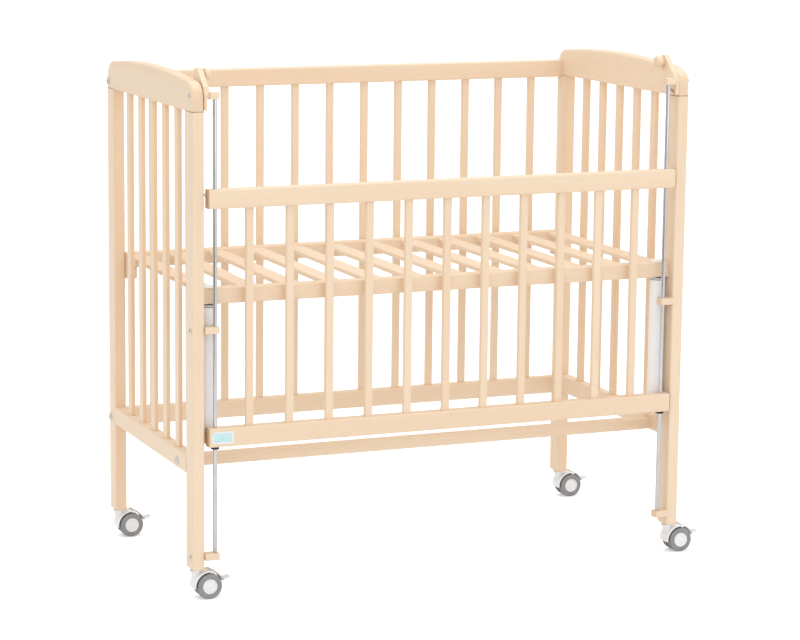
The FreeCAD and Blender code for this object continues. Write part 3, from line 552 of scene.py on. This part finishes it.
# ------------------------------------------------------------------ mesh making
class Form:
    """A mesh in the making, with the few shaping steps that the pieces share."""

    def __init__(self) -> None:
        """Starts empty."""
        self.bm = bmesh.new()

    def cylinder(self, centre: Vector, axis: Vector, radius: float, length: float, steps: int = 48) -> None:
        """Adds a closed cylinder.

        Args:
            centre: Middle of the cylinder.
            axis: Direction of its axis.
            radius: Radius.
            length: Length along the axis.
            steps: Sides.
        """
        turn = axis.to_track_quat("Z", "Y").to_matrix().to_4x4()
        bmesh.ops.create_cone(self.bm, cap_ends=True, segments=steps, radius1=radius, radius2=radius,
                              depth=length, matrix=Matrix.Translation(centre) @ turn)

    def block(self, low: Vector, high: Vector) -> None:
        """Adds a closed box.

        Args:
            low: Lowest corner.
            high: Highest corner.
        """
        size = Matrix.Diagonal((*(high - low), 1.0))
        bmesh.ops.create_cube(self.bm, size=1.0, matrix=Matrix.Translation((low + high) / 2) @ size)

    def turned(self, centre: Vector, axis: Vector, outline: Outline, steps: int = 64) -> None:
        """Adds a shape turned on a lathe.

        Args:
            centre: Origin of the outline on the axis.
            axis: The lathe's axis.
            outline: (distance along the axis, radius) points; a first or last radius of 0 closes the end.
            steps: Sides.
        """
        side = axis.orthogonal().normalized()
        first = [self.bm.verts.new(centre + axis * along + side * radius) for along, radius in outline]
        edges = [self.bm.edges.new(pair) for pair in zip(first, first[1:])]
        bmesh.ops.spin(self.bm, geom=first + edges, cent=centre, axis=axis, angle=math.tau,
                       steps=steps, use_merge=True, use_duplicate=False)
        bmesh.ops.remove_doubles(self.bm, verts=self.bm.verts, dist=WELD)

    def swept(self, centre: Vector, radii: tuple[float, float], depths: tuple[float, float],
              arc: tuple[float, float], steps: int = 40) -> None:
        """Adds a curved bar about an axis along Y.

        Args:
            centre: A point on the axis.
            radii: Its inner and outer radius.
            depths: Its two limits along Y from the centre.
            arc: Where it starts and ends, in degrees from +X toward +Z.
            steps: Parts of the arc.
        """
        start, span = math.radians(arc[0]), math.radians(arc[1] - arc[0])
        way = Vector((math.cos(start), 0, math.sin(start)))
        (inner, outer), (near, far) = radii, depths
        corners = [(inner, near), (outer, near), (outer, far), (inner, far)]
        ring = [self.bm.verts.new(centre + way * radius + Vector((0, depth, 0)))
                for radius, depth in corners]
        edges = [self.bm.edges.new((ring[index - 1], ring[index])) for index in range(len(ring))]
        bmesh.ops.spin(self.bm, geom=ring + edges, cent=centre, axis=Vector((0, -1, 0)), angle=span,
                       steps=steps)
        rims = [edge for edge in self.bm.edges if edge.is_boundary]
        bmesh.ops.holes_fill(self.bm, edges=rims, sides=len(ring))

    def soften(self, width: float, segments: int = 2, angle: float = 40.0) -> None:
        """Rounds every edge sharper than an angle.

        Args:
            width: Width of the rounding.
            segments: Steps of the rounding.
            angle: Sharpness in degrees from which an edge is rounded.
        """
        sharp = [edge for edge in self.bm.edges if len(edge.link_faces) == 2
                 and edge.calc_face_angle() > math.radians(angle)]
        bmesh.ops.bevel(self.bm, geom=sharp, offset=width, offset_type="OFFSET", affect="EDGES",
                        segments=segments, profile=0.5, material=-1, clamp_overlap=True)

    def finished(self, name: str, finish: bpy.types.Material, body: str,
                 smooth: float = 38.0) -> bpy.types.Object:
        """Turns the mesh into a piece that rides on a body.

        Args:
            name: The piece's name.
            finish: Its material.
            body: The body that carries it.
            smooth: Angle in degrees under which faces shade as one.

        Returns:
            The piece.
        """
        bmesh.ops.recalc_face_normals(self.bm, faces=self.bm.faces)
        mesh = bpy.data.meshes.new(name)
        self.bm.to_mesh(mesh)
        self.bm.free()
        mesh.shade_smooth()
        mesh.set_sharp_from_angle(angle=math.radians(smooth))
        mesh.materials.append(finish)
        piece = bpy.data.objects.new(name, mesh)
        bpy.context.scene.collection.objects.link(piece)
        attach(piece, body)
        LOG.info("%s: %d faces on %s", name, len(mesh.polygons), body)
        return piece


def centre_of(node: str) -> Vector:
    """Middle of a CAD node's box."""
    low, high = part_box(node)
    return (low + high) / 2


def foot_of(low: Vector, high: Vector) -> Vector:
    """Middle of the underside of a box."""
    return Vector(((low.x + high.x) / 2, (low.y + high.y) / 2, low.z))


def dress(node: str, finish: bpy.types.Material) -> None:
    """Gives a finish to a CAD node that keeps its shape."""
    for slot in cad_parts[node].material_slots:
        slot.material = finish


def islands(node: str) -> list[tuple[Vector, Vector]]:
    """Boxes of the separate solids in one CAD node.

    Args:
        node: The node's name.

    Returns:
        (lowest corner, highest corner) of each solid, from left to right.
    """
    bm = bmesh.new()
    bm.from_mesh(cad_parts[node].data)
    bmesh.ops.remove_doubles(bm, verts=bm.verts, dist=WELD)
    left = set(bm.verts)
    boxes = []
    while left:
        grown = set()
        waiting = [left.pop()]
        while waiting:
            vert = waiting.pop()
            grown.add(vert)
            linked = {edge.other_vert(vert) for edge in vert.link_edges} & left
            left -= linked
            waiting.extend(linked)
        low = Vector([min(vert.co[axis] for vert in grown) for axis in range(3)])
        high = Vector([max(vert.co[axis] for vert in grown) for axis in range(3)])
        boxes.append((low, high))
    bm.free()
    return sorted(boxes, key=lambda box: [round(part, 4) for part in box[0]])


# ------------------------------------------------------------------ sub-assemblies
@dataclass
class WoodFrame:
    """Every wooden piece that keeps its CAD shape, with painted shade in the joint grooves under the top
    rails.
    """

    end_pitch: float = 68.5 * MM
    back_pitch: float = 70.5 * MM
    drop_pitch: float = 73.8 * MM
    base_pitch: float = 78.64 * MM
    block_pitch: float = 200 * MM
    # Painted shade: how strongly the back posts and the end slats take the darker orange on faces that look
    # along Y.
    post_flank: float = 0.35
    slat_flank_shade: float = 0.6
    # Partly painted shade: the drop rails' ends are darker than beech's own end grain, standing in for the
    # shadow in the gap between rail end and post.
    sawn_end: Colour = (0.58, 0.38, 0.21, 1.0)
    end_grain_and_gap_shade_mix: float = 0.7
    seam_inset: float = 0.3 * MM
    seam_height: float = 0.9 * MM
    seam_round: float = 0.1 * MM
    # Painted shade: colours of the dark blocks in the joint grooves.
    seam_shade_dark: Colour = (0.20, 0.105, 0.05, 1.0)
    seam_shade_light: Colour = (0.26, 0.14, 0.07, 1.0)

    def dress(self, node: str, grain: Grain, tone: Optional[float] = None, pitch: float = 0.0,
              pitch_axis: int = 0, **wood: Union[float, Colour]) -> None:
        """Gives one node its wood.

        Args:
            node: The CAD node.
            grain: The way its fibres run.
            tone: Tone between 0 and 1; where none is given, the node's own.
            pitch: Distance between the boards that repeat in the node, or 0.
            pitch_axis: The axis that they repeat along.
            wood: Other fields of its finish.
        """
        tone = self.tone_of(node) if tone is None else tone
        dress(node, Beech(grain, tone, pitch, pitch_axis, **wood).build("beech_" + node))

    def tone_of(self, node: str) -> float:
        """A steady number between 0 and 1 for each node, so that no two planks are cut alike."""
        return (sum(ord(letter) * (place + 3) for place, letter in enumerate(node)) % 97) / 97

    def build(self) -> None:
        """Dresses all the wood."""
        for end in End:
            word = "end_" + end.word
            self.dress(word + "_front_post", Grain.ALONG_Z)
            self.dress(word + "_back_post", Grain.ALONG_Z, flank_shade_mix=self.post_flank)
            self.dress(word + "_top_rail", Grain.ALONG_Y)
            self.dress(word + "_bottom_rail", Grain.ALONG_Y)
            self.dress(word + "_slats", Grain.ALONG_Z, tone=0.5, pitch=self.end_pitch, pitch_axis=1,
                       flank_shade_mix=self.slat_flank_shade)
            self.dress("latch_" + end.word + "_lever", Grain.ALONG_Z)
        for node in ("back_top_rail", "back_bottom_rail", "front_stretcher", "base_front_rail",
                     "base_back_rail"):
            self.dress(node, Grain.ALONG_X)
        for node in ("drop_top_rail", "drop_bottom_rail"):
            # The drop rails' ends get darker end grain plus painted shade for the gap at the posts.
            self.dress(node, Grain.ALONG_X, end=self.sawn_end, end_mix=self.end_grain_and_gap_shade_mix)
        self.dress("back_slats", Grain.ALONG_Z, tone=0.0, pitch=self.back_pitch)
        self.dress("drop_slats", Grain.ALONG_Z, tone=0.5, pitch=self.drop_pitch)
        self.dress("base_slats", Grain.ALONG_Y, tone=0.0, pitch=self.base_pitch)
        self.dress("rod_blocks", Grain.ALONG_X, tone=0.3, pitch=self.block_pitch, pitch_axis=2)
        self.dress("base_brackets", Grain.ALONG_X, tone=0.6, pitch=self.block_pitch, pitch_axis=2)
        # Painted shade in the joint grooves under the top rails.
        self.seams()

    def seams(self) -> None:
        """Painted shade: thin dark blocks in the grooves between the posts and the top rails, where the
        joints lie in shadow.
        """
        form = Form()
        inset = Vector((self.seam_inset, self.seam_inset, 0))
        for end in End:
            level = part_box("end_" + end.word + "_top_rail")[0].z
            for place in ("_front_post", "_back_post"):
                low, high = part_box("end_" + end.word + place)
                low.z, high.z = level - self.seam_height / 2, level + self.seam_height / 2
                form.block(low + inset, high - inset)
        form.soften(self.seam_round)
        shade = Moulded(self.seam_shade_dark, self.seam_shade_light, rough=0.8, skin=0.02).build("joint_shadow")
        form.finished("painted_joint_shade", shade, "frame")


@dataclass
class GuideRods:
    """The two steel rods with their dark stop collars."""

    finishes: Finishes
    edge: float = 0.5 * MM
    groove: float = 0.6 * MM
    groove_reach: float = 0.15

    def build(self) -> None:
        """Makes the rods and the collars."""
        form = Form()
        for low, high in islands("guide_rods"):
            form.cylinder((low + high) / 2, UP, (high.x - low.x) / 2, high.z - low.z)
        form.soften(self.edge)
        rods = form.finished("steel_rods", self.finishes.rod_steel, "frame")
        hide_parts("guide_rods")
        form = Form()
        for (low, high), (rod_low, rod_high) in zip(islands("stop_collars"), islands("guide_rods")):
            self.collar(form, low, high, (rod_high.x - rod_low.x) / 2)
        collars = form.finished("rubber_collars", self.finishes.rubber, "frame")
        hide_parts("stop_collars")

    def collar(self, form: Form, low: Vector, high: Vector, bore: float) -> None:
        """One grommet with a groove round its middle.

        Args:
            form: Mesh that takes it.
            low: Its lowest corner.
            high: Its highest corner.
            bore: Radius of the rod.
        """
        radius, tall = (high.x - low.x) / 2, high.z - low.z
        groove_low, groove_high = (tall * (0.5 + way * self.groove_reach) for way in (-1, 1))
        outline = [(0, bore), (0, radius - self.edge), (self.edge, radius), (groove_low, radius),
                   (tall / 2, radius - self.groove), (groove_high, radius), (tall - self.edge, radius),
                   (tall, radius - self.edge), (tall, bore), (0, bore)]
        form.turned(foot_of(low, high), UP, outline, steps=48)


@dataclass
class SupportTubes:
    """Pale spacer tubes under the mattress base's front rail, with their rings and caps."""

    finishes: Finishes
    rim: float = 0.8 * MM
    wall: float = 3.0 * MM
    tie_radius: float = 4.0 * MM
    highlight_inset: float = 1.12 * MM
    cap_outline: tuple[tuple[float, float], ...] = (
        (0, 0), (0, 1), (0.45, 1), (0.8, 0.93), (1, 0.8), (1, 0.35), (0.85, 0.25), (0.8, 0))

    def lathe(self, node: str, name: str, finish: bpy.types.Material,
              outline: Callable[[float, float], Outline]) -> None:
        """Replaces a node of two round pieces.

        Args:
            node: The CAD node.
            name: The new piece's name.
            finish: Its material.
            outline: Gives the lathe's outline from a radius and a height.
        """
        form = Form()
        for low, high in islands(node):
            form.turned(foot_of(low, high), UP, outline((high.x - low.x) / 2, high.z - low.z))
        piece = form.finished(name, finish, "frame")
        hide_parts(node)

    def sleeve(self, radius: float, tall: float, bore: float) -> Outline:
        """Outline of a hollow round piece with eased rims.

        Args:
            radius: Its outer radius.
            tall: Its height.
            bore: Its inner radius.

        Returns:
            The lathe's outline.
        """
        rim = self.rim
        return [(0, bore), (0, radius - rim), (rim, radius), (tall - rim, radius), (tall, radius - rim),
                (tall, bore), (0, bore)]

    def tube(self, radius: float, tall: float) -> Outline:
        """Outline of a tube."""
        return self.sleeve(radius, tall, radius - self.wall)

    def ring(self, radius: float, tall: float) -> Outline:
        """Outline of a soft washer round the tie bolt."""
        return self.sleeve(radius, tall, self.tie_radius)

    def cap(self, radius: float, tall: float) -> Outline:
        """Outline of a domed cap with a shallow dimple."""
        return [(tall * along, radius * across) for along, across in self.cap_outline]

    def build(self) -> None:
        """Makes tubes, rings and caps."""
        looks = self.finishes
        self.lathe("base_support_tubes", "spacer_tubes", looks.tube, self.tube)
        low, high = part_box("base_support_rings")
        # Painted highlight: a pale band round the middle of the dark ring stands in for its gloss.
        pale = Band(2, low.z + self.highlight_inset, high.z - self.highlight_inset, grey(0.72))
        ring = Moulded(grey(0.05), grey(0.08), rough=0.5, skin=0.1, bands=(pale,)).build("ring_with_painted_highlight")
        self.lathe("base_support_rings", "soft_rings", ring, self.ring)
        self.lathe("base_support_caps", "screw_caps", looks.white, self.cap)


@dataclass
class Fastenings:
    """Plated hardware, with painted shade in the recesses of the bolt and screw heads."""

    finishes: Finishes
    cross_long: float = 5.0 * MM
    cross_wide: float = 1.2 * MM
    proud: float = 0.06 * MM
    depth: float = 0.5 * MM
    socket: float = 1.98 * MM
    socket_depth: float = 1.5 * MM

    def build(self) -> None:
        """Dresses the hardware that keeps its CAD shape and paints shade into the recesses of its heads."""
        for node in ("frame_bolts", "wood_screws", "catch_pins", "caster_stems"):
            dress(node, self.finishes.plated)
        dress("drop_bushes", self.finishes.hub)
        form = Form()
        for low, high in islands("wood_screws"):
            self.cross(form, low, high)
        for low, high in islands("frame_bolts"):
            if high.x - low.x > high.z - low.z:
                self.hollow(form, low, high)
        form.finished("head_recess_shade", self.finishes.recess, "frame")

    def cross(self, form: Form, low: Vector, high: Vector) -> None:
        """Painted shade: two thin dark blades that draw the cross recess of one screw head.

        Args:
            form: Mesh that takes them.
            low: The screw's lowest corner.
            high: The screw's highest corner.
        """
        middle = (low + high) / 2
        face, way = self.head_of(low.x, high.x)
        near, far = sorted((face + way * self.proud, face - way * self.depth))
        for wide, tall in ((self.cross_long, self.cross_wide), (self.cross_wide, self.cross_long)):
            form.block(Vector((near, middle.y - wide / 2, middle.z - tall / 2)),
                       Vector((far, middle.y + wide / 2, middle.z + tall / 2)))

    def head_of(self, low: float, high: float) -> tuple[float, int]:
        """Where a screw's head lies: outside its end panel, or else toward the middle of the crib.

        Args:
            low: The screw's lowest X.
            high: The screw's highest X.

        Returns:
            X of the head's face, and the direction it looks.
        """
        outside_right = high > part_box("end_right_front_post")[1].x
        inside_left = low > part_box("end_left_front_post")[0].x and low + high < 0
        return (high, 1) if outside_right or inside_left else (low, -1)

    def hollow(self, form: Form, low: Vector, high: Vector) -> None:
        """Painted shade: a dark disc that lines one bolt's socket.

        Args:
            form: Mesh that takes it.
            low: The bolt's lowest corner.
            high: The bolt's highest corner.
        """
        middle = (low + high) / 2
        way = 1 if middle.x > 0 else -1
        face = high.x if way > 0 else low.x
        seat = Vector((face - way * (self.socket_depth - self.depth / 2), middle.y, middle.z))
        form.cylinder(seat, Vector((1, 0, 0)), self.socket, self.depth, steps=6)


@dataclass
class DropSideLabel:
    """The small plain plate on the drop side's bottom rail."""

    corner: float = 1.6 * MM
    border: float = 2.6 * MM
    step: float = 0.15 * MM
    paper: Colour = (0.84, 0.86, 0.86, 1.0)
    grey_paper: Colour = (0.80, 0.83, 0.83, 1.0)
    tint: Colour = (0.50, 0.75, 0.75, 1.0)
    pale_tint: Colour = (0.60, 0.81, 0.81, 1.0)

    def build(self) -> None:
        """Makes the plate with a sunk field."""
        low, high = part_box("label_plate")
        form = Form()
        form.block(low, high)
        upright = [edge for edge in form.bm.edges
                   if abs(edge.verts[0].co.y - edge.verts[1].co.y) > self.step]
        bmesh.ops.bevel(form.bm, geom=upright, offset=self.corner, affect="EDGES", segments=5, profile=0.5,
                        material=-1)
        front = min(form.bm.faces, key=lambda face: face.calc_center_median().y)
        bmesh.ops.inset_region(form.bm, faces=[front], thickness=self.border, depth=0.0)
        bmesh.ops.inset_region(form.bm, faces=[front], thickness=self.step, depth=-self.step)
        front.material_index = 1
        paper = Moulded(self.paper, self.grey_paper, rough=0.3, skin=0.02).build("label_paper")
        plate = form.finished("plain_label", paper, "drop_side")
        sunk = Moulded(self.tint, self.pale_tint, rough=0.3, skin=0.02).build("label_field")
        plate.data.materials.append(sunk)
        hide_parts("label_plate")


@dataclass
class Latch:
    """The turned peg on one latch lever."""

    end: End
    waist: float = 6.5 * MM
    waist_long: float = 4.5 * MM
    spigot: float = 5.0 * MM
    spigot_long: float = 7.0 * MM
    ease: float = 1.2 * MM
    dome: float = 0.42
    dome_steps: int = 6

    def outline(self, long: float, radius: float) -> Outline:
        """Outline of the peg, from its hidden end to the crown of its knob.

        Args:
            long: Its whole length.
            radius: Radius of the knob.

        Returns:
            The lathe's outline.
        """
        root, neck, ease = self.spigot_long, self.spigot_long + self.waist_long, self.ease
        points = [(0, 0), (0, self.spigot), (root, self.spigot), (root, self.waist + ease / 2),
                  (root + ease, self.waist), (neck - ease, self.waist), (neck, self.waist + ease),
                  (neck, radius - ease), (neck + ease * 0.4, radius - ease * 0.3), (neck + ease, radius)]
        dome = radius * self.dome
        for step in range(self.dome_steps + 1):
            angle = step / self.dome_steps * math.pi / 2
            points.append((long - dome * (1 - math.sin(angle)), radius - dome * (1 - math.cos(angle))))
        return points + [(long, 0)]

    def build(self) -> None:
        """Turns the peg."""
        node = "latch_" + self.end.word + "_peg"
        low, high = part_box(node)
        way = self.end.way
        root = Vector((high.x if way > 0 else low.x, (low.y + high.y) / 2, (low.z + high.z) / 2))
        form = Form()
        form.turned(root, Vector((-way, 0, 0)), self.outline(high.x - low.x, (high.z - low.z) / 2))
        beech = Beech(Grain.ALONG_X, tone=0.4 + 0.2 * way).build("beech_peg_" + self.end.word)
        peg = form.finished("turned_peg_" + self.end.word, beech, "latch_" + self.end.word)
        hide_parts(node)


@dataclass
class Caster:
    """One braked twin-wheel caster."""

    corner: Corner
    finishes: Finishes
    tyre_radius: float = 22.5 * MM
    hub_radius: float = 13.2 * MM
    inner: float = 3.6 * MM
    outer: float = 17.0 * MM
    tyre_inner: float = 4.0 * MM
    tyre_outer: float = 16.2 * MM
    shoulder: float = 2.5 * MM
    tread: float = 0.5 * MM
    tread_grooves: tuple[float, float] = (0.38, 0.62)
    round_steps: int = 5
    axle_hole: float = 3.2 * MM
    dish: float = 0.9 * MM
    cap_radius: float = 4.2 * MM
    tab_from: float = 27.5 * MM
    tab_to: float = 82.5 * MM
    tip_top: float = 36.0 * MM
    tab_slope: float = 0.287
    ridge_radius: float = 0.7 * MM
    ridge_round: float = 0.28 * MM
    ridge_half: float = 6.5 * MM
    ridge_from: float = 3.4 * MM
    ridge_pitch: float = 2.4 * MM
    ridges: int = 4
    # Painted shade in the gap between hood and tyres: size and arc of the dark strips.
    gap_shade_radii: tuple[float, float] = (22.95 * MM, 25.3 * MM)
    gap_shade_depths: tuple[float, float] = (14.3 * MM, 15.12 * MM)
    gap_shade_arc: tuple[float, float] = (89.0, 185.6)

    @property
    def tag(self) -> str:
        """The caster's short name."""
        return self.corner.value

    def build(self) -> None:
        """Makes the wheels and dresses the rest."""
        axle = centre_of("caster_" + self.tag + "_axle")
        self.wheels(axle)
        self.tyres(axle)
        tab = Band(0, axle.x + self.tab_from, axle.x + self.tab_to, grey(0.85))
        pedal = Moulded(grey(0.50), grey(0.57), rough=0.45, skin=0.1, bands=(tab,))
        dress("caster_" + self.tag + "_hood", self.finishes.white)
        dress("caster_" + self.tag + "_axle", self.finishes.plated)
        dress("caster_" + self.tag + "_pedal", pedal.build("pedal_plastic_" + self.tag))
        self.grips(axle)
        # Painted shade in the gap between hood and tyres.
        self.gap_shades(axle)

    def gap_shades(self, axle: Vector) -> None:
        """Painted shade: dark strips along the hood's inner edges, standing in for the shadow in the thin
        gap between hood and tyres.

        Args:
            axle: Middle of the axle.
        """
        form = Form()
        near, far = self.gap_shade_depths
        for depths in ((near, far), (-far, -near)):
            form.swept(axle, self.gap_shade_radii, depths, self.gap_shade_arc)
        form.finished("hood_gap_shade_" + self.tag, self.finishes.rubber, "caster_" + self.tag)

    def grips(self, axle: Vector) -> None:
        """Rounded ridges across the pedal's tab for the foot.

        Args:
            axle: Middle of the axle.
        """
        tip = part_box("caster_" + self.tag + "_pedal")[1].x
        form = Form()
        for number in range(self.ridges):
            back = self.ridge_from + number * self.ridge_pitch
            centre = Vector((tip - back, axle.y, self.tip_top - back * self.tab_slope))
            form.cylinder(centre, Vector((0, 1, 0)), self.ridge_radius, 2 * self.ridge_half, steps=20)
        form.soften(self.ridge_round)
        form.finished("pedal_ridges_" + self.tag, self.finishes.hub, "pedal_" + self.tag)

    def wheels(self, axle: Vector) -> None:
        """Wheel centres with a dished face, a raised rim and a small cap.

        Args:
            axle: Middle of the axle.
        """
        form = Form()
        rim, face, dish, cap = self.hub_radius, self.outer, self.dish, self.cap_radius
        outline = [(self.inner, self.axle_hole), (self.inner, rim), (face - dish * 0.6, rim),
                   (face - dish * 0.15, rim - dish * 0.35), (face, rim - dish), (face, rim - dish * 2),
                   (face - dish, rim - dish * 2.8), (face - dish, cap + dish), (face - dish * 0.4, cap),
                   (face - dish * 0.2, cap * 0.6), (face - dish * 0.15, 0)]
        for way in (-1, 1):
            form.turned(axle, Vector((0, way, 0)), outline)
        piece = form.finished("wheel_centres_" + self.tag, self.finishes.hub, "wheels_" + self.tag,
                              smooth=28.0)
        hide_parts("caster_" + self.tag + "_wheels")

    def tyres(self, axle: Vector) -> None:
        """Soft tyres with two fine grooves in the tread.

        Args:
            axle: Middle of the axle.
        """
        form = Form()
        near, far, top, hub, tread = (self.tyre_inner, self.tyre_outer, self.tyre_radius, self.hub_radius,
                                      self.tread)
        turns = [step / self.round_steps * math.pi / 2 for step in range(self.round_steps + 1)]
        eased = [(self.shoulder * (1 - math.cos(turn)), self.shoulder * (1 - math.sin(turn)))
                 for turn in turns]
        outline = [(near, hub)] + [(near + across, top - down) for across, down in eased]
        for part in self.tread_grooves:
            middle = near + (far - near) * part
            outline += [(middle - tread, top), (middle - tread / 2, top - tread),
                        (middle + tread / 2, top - tread), (middle + tread, top)]
        outline += [(far - across, top - down) for across, down in reversed(eased)]
        outline += [(far, hub + tread * 2), (far - tread, hub + tread), (far - tread, hub), (near, hub)]
        for way in (-1, 1):
            form.turned(axle, Vector((0, way, 0)), outline)
        piece = form.finished("soft_tyres_" + self.tag, self.finishes.tyre, "wheels_" + self.tag,
                              smooth=30.0)
        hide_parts("caster_" + self.tag + "_tyres")


# ------------------------------------------------------------------ studio
@dataclass(frozen=True)
class SoftBox:
    """One square soft lamp, hidden from the camera."""

    name: str
    place: tuple[float, float, float]
    size: float
    power: float
    tint: tuple[float, float, float] = (1.0, 1.0, 1.0)

    def build(self, aim: Vector) -> None:
        """Hangs the lamp.

        Args:
            aim: The point that it faces.
        """
        place = Vector(self.place)
        data = bpy.data.lights.new(self.name, "AREA")
        data.shape, data.size, data.energy, data.color = "SQUARE", self.size, self.power, self.tint
        lamp = bpy.data.objects.new(self.name, data)
        lamp.location = place
        lamp.rotation_mode = "QUATERNION"
        lamp.rotation_quaternion = (aim - place).to_track_quat("-Z", "Y")
        lamp.visible_camera = False
        bpy.context.scene.collection.objects.link(lamp)


@dataclass
class Studio:
    """Pale floor, soft light and the camera at the photograph's viewing angle."""

    azimuth: float = -21.062
    elevation: float = 9.585
    roll: float = 0.266
    place_mm: tuple[float, float, float] = (-1931.68, -4480.7, 1299.06)
    far_clip: float = 200.0
    sensor: float = 36.0
    lens: float = 120.43
    shift_right: float = 0.1232
    shift_up: float = -0.0349
    sky: float = 1.05
    background: float = 1.0
    sky_fade: tuple[float, float] = (-0.45, 0.05)
    sky_drop: float = 0.4
    left_way: tuple[float, float] = (-0.92, 0.395)
    floor_size: float = 60.0
    floor_tone: float = 0.86
    floor_glow: float = 0.3
    floor_gloss: float = 0.07
    gloss_rough: float = 0.04
    left_fade: tuple[float, float] = (-0.3, 0.4)
    front_fade: tuple[float, float] = (1.0, 2.4)
    floor_drop: float = 0.85
    aim: tuple[float, float, float] = (0.0, 0.0, 0.5)
    lamps: tuple[SoftBox, ...] = (
        SoftBox("key", (0.7, -4.4, 2.5), size=2.4, power=16.0, tint=(0.97, 0.985, 1.0)),
        SoftBox("overhead", (0.3, 0.4, 3.6), size=3.0, power=36.0))

    def camera(self) -> None:
        """Places the camera."""
        around, above, tilt = (math.radians(angle) for angle in (self.azimuth, self.elevation, self.roll))
        back = Vector((math.sin(around) * math.cos(above), -math.cos(around) * math.cos(above),
                       math.sin(above)))
        level = Vector((math.cos(around), math.sin(around), 0))
        upright = back.cross(level)
        right = level * math.cos(tilt) + upright * math.sin(tilt)
        up = upright * math.cos(tilt) - level * math.sin(tilt)
        data = bpy.data.cameras.new("camera")
        data.sensor_width, data.lens = self.sensor, self.lens
        data.shift_x, data.shift_y = self.shift_right, self.shift_up
        data.clip_end = self.far_clip
        camera = bpy.data.objects.new("camera", data)
        turn = Matrix((right, up, back)).transposed().to_4x4()
        camera.matrix_world = Matrix.Translation(Vector(self.place_mm) * MM) @ turn
        bpy.context.scene.collection.objects.link(camera)
        bpy.context.scene.camera = camera

    def leftward(self, east: Maths, north: Maths) -> Maths:
        """How far a point or direction lies to the left of the view."""
        return north * self.left_way[1] + east * self.left_way[0]

    def world(self) -> None:
        """White surroundings; what shiny things reflect is darker to the left of the view."""
        world = bpy.data.worlds.new("studio")
        bpy.context.scene.world = world
        shader = Shader(world)
        path = shader.node("ShaderNodeLightPath").outputs
        east, north, _ = shader.parts_of(shader.node("ShaderNodeTexCoord").outputs["Generated"])
        glossy = 1 - self.leftward(east, north).ramp(*self.sky_fade) * self.sky_drop
        seen = Maths(shader, path["Is Camera Ray"])
        shiny = Maths(shader, path["Is Glossy Ray"])
        soft = self.sky * (1 - seen) * (1 - shiny)
        strength = soft + seen * self.background + shiny * (1 - seen) * glossy
        sky = shader.node("ShaderNodeBackground", {}, {0: grey(1.0), 1: strength})
        shader.node("ShaderNodeOutputWorld", {}, {0: sky.outputs[0]})

    def floor(self) -> None:
        """A wide pale floor with a faint gloss, white to the camera.

        What shiny things reflect of it is darker at the front left.
        """
        form = Form()
        bmesh.ops.create_grid(form.bm, x_segments=1, y_segments=1, size=self.floor_size / 2)
        mesh = bpy.data.meshes.new("floor")
        form.bm.to_mesh(mesh)
        form.bm.free()
        floor = bpy.data.objects.new("floor", mesh)
        bpy.context.scene.collection.objects.link(floor)
        shader = Shader.material("pale_floor")
        path = shader.node("ShaderNodeLightPath").outputs
        seen = Maths(shader, path["Is Camera Ray"])
        east, north, _ = shader.parts_of(shader.place())
        left = self.leftward(east, north).ramp(*self.left_fade)
        front = (-1 * north).ramp(*self.front_fade)
        dark = Maths(shader, path["Is Glossy Ray"]) * left * front * self.floor_drop
        tone = shader.blend(dark, shader.blend(seen, grey(self.floor_tone), grey(1.0)), grey(0.0))
        pale = shader.node("ShaderNodeBsdfDiffuse", {}, {0: tone})
        glow = shader.node("ShaderNodeEmission", {}, {0: grey(1.0), 1: seen * self.floor_glow})
        lit = shader.node("ShaderNodeAddShader", {}, {0: pale.outputs[0], 1: glow.outputs[0]})
        gloss = shader.node("ShaderNodeBsdfGlossy", {}, {0: grey(1.0), "Roughness": self.gloss_rough})
        mixed = shader.node("ShaderNodeMixShader", {}, {0: self.floor_gloss, 1: lit.outputs[0],
                                                        2: gloss.outputs[0]})
        shader.node("ShaderNodeOutputMaterial", {}, {0: mixed.outputs[0]})
        mesh.materials.append(shader.owner)

    def build(self) -> None:
        """Sets up the studio."""
        self.camera()
        self.world()
        self.floor()
        for lamp in self.lamps:
            lamp.build(Vector(self.aim))
        bpy.context.scene.view_settings.view_transform = "Standard"


def main() -> None:
    """Builds every sub-assembly in order."""
    logging.basicConfig(level=logging.INFO, format="%(message)s")
    finishes = Finishes()
    WoodFrame().build()
    GuideRods(finishes).build()
    SupportTubes(finishes).build()
    Fastenings(finishes).build()
    DropSideLabel().build()
    for end in End:
        Latch(end).build()
    for corner in Corner:
        Caster(corner, finishes).build()
    Studio().build()


if __name__ == "__main__":
    main()
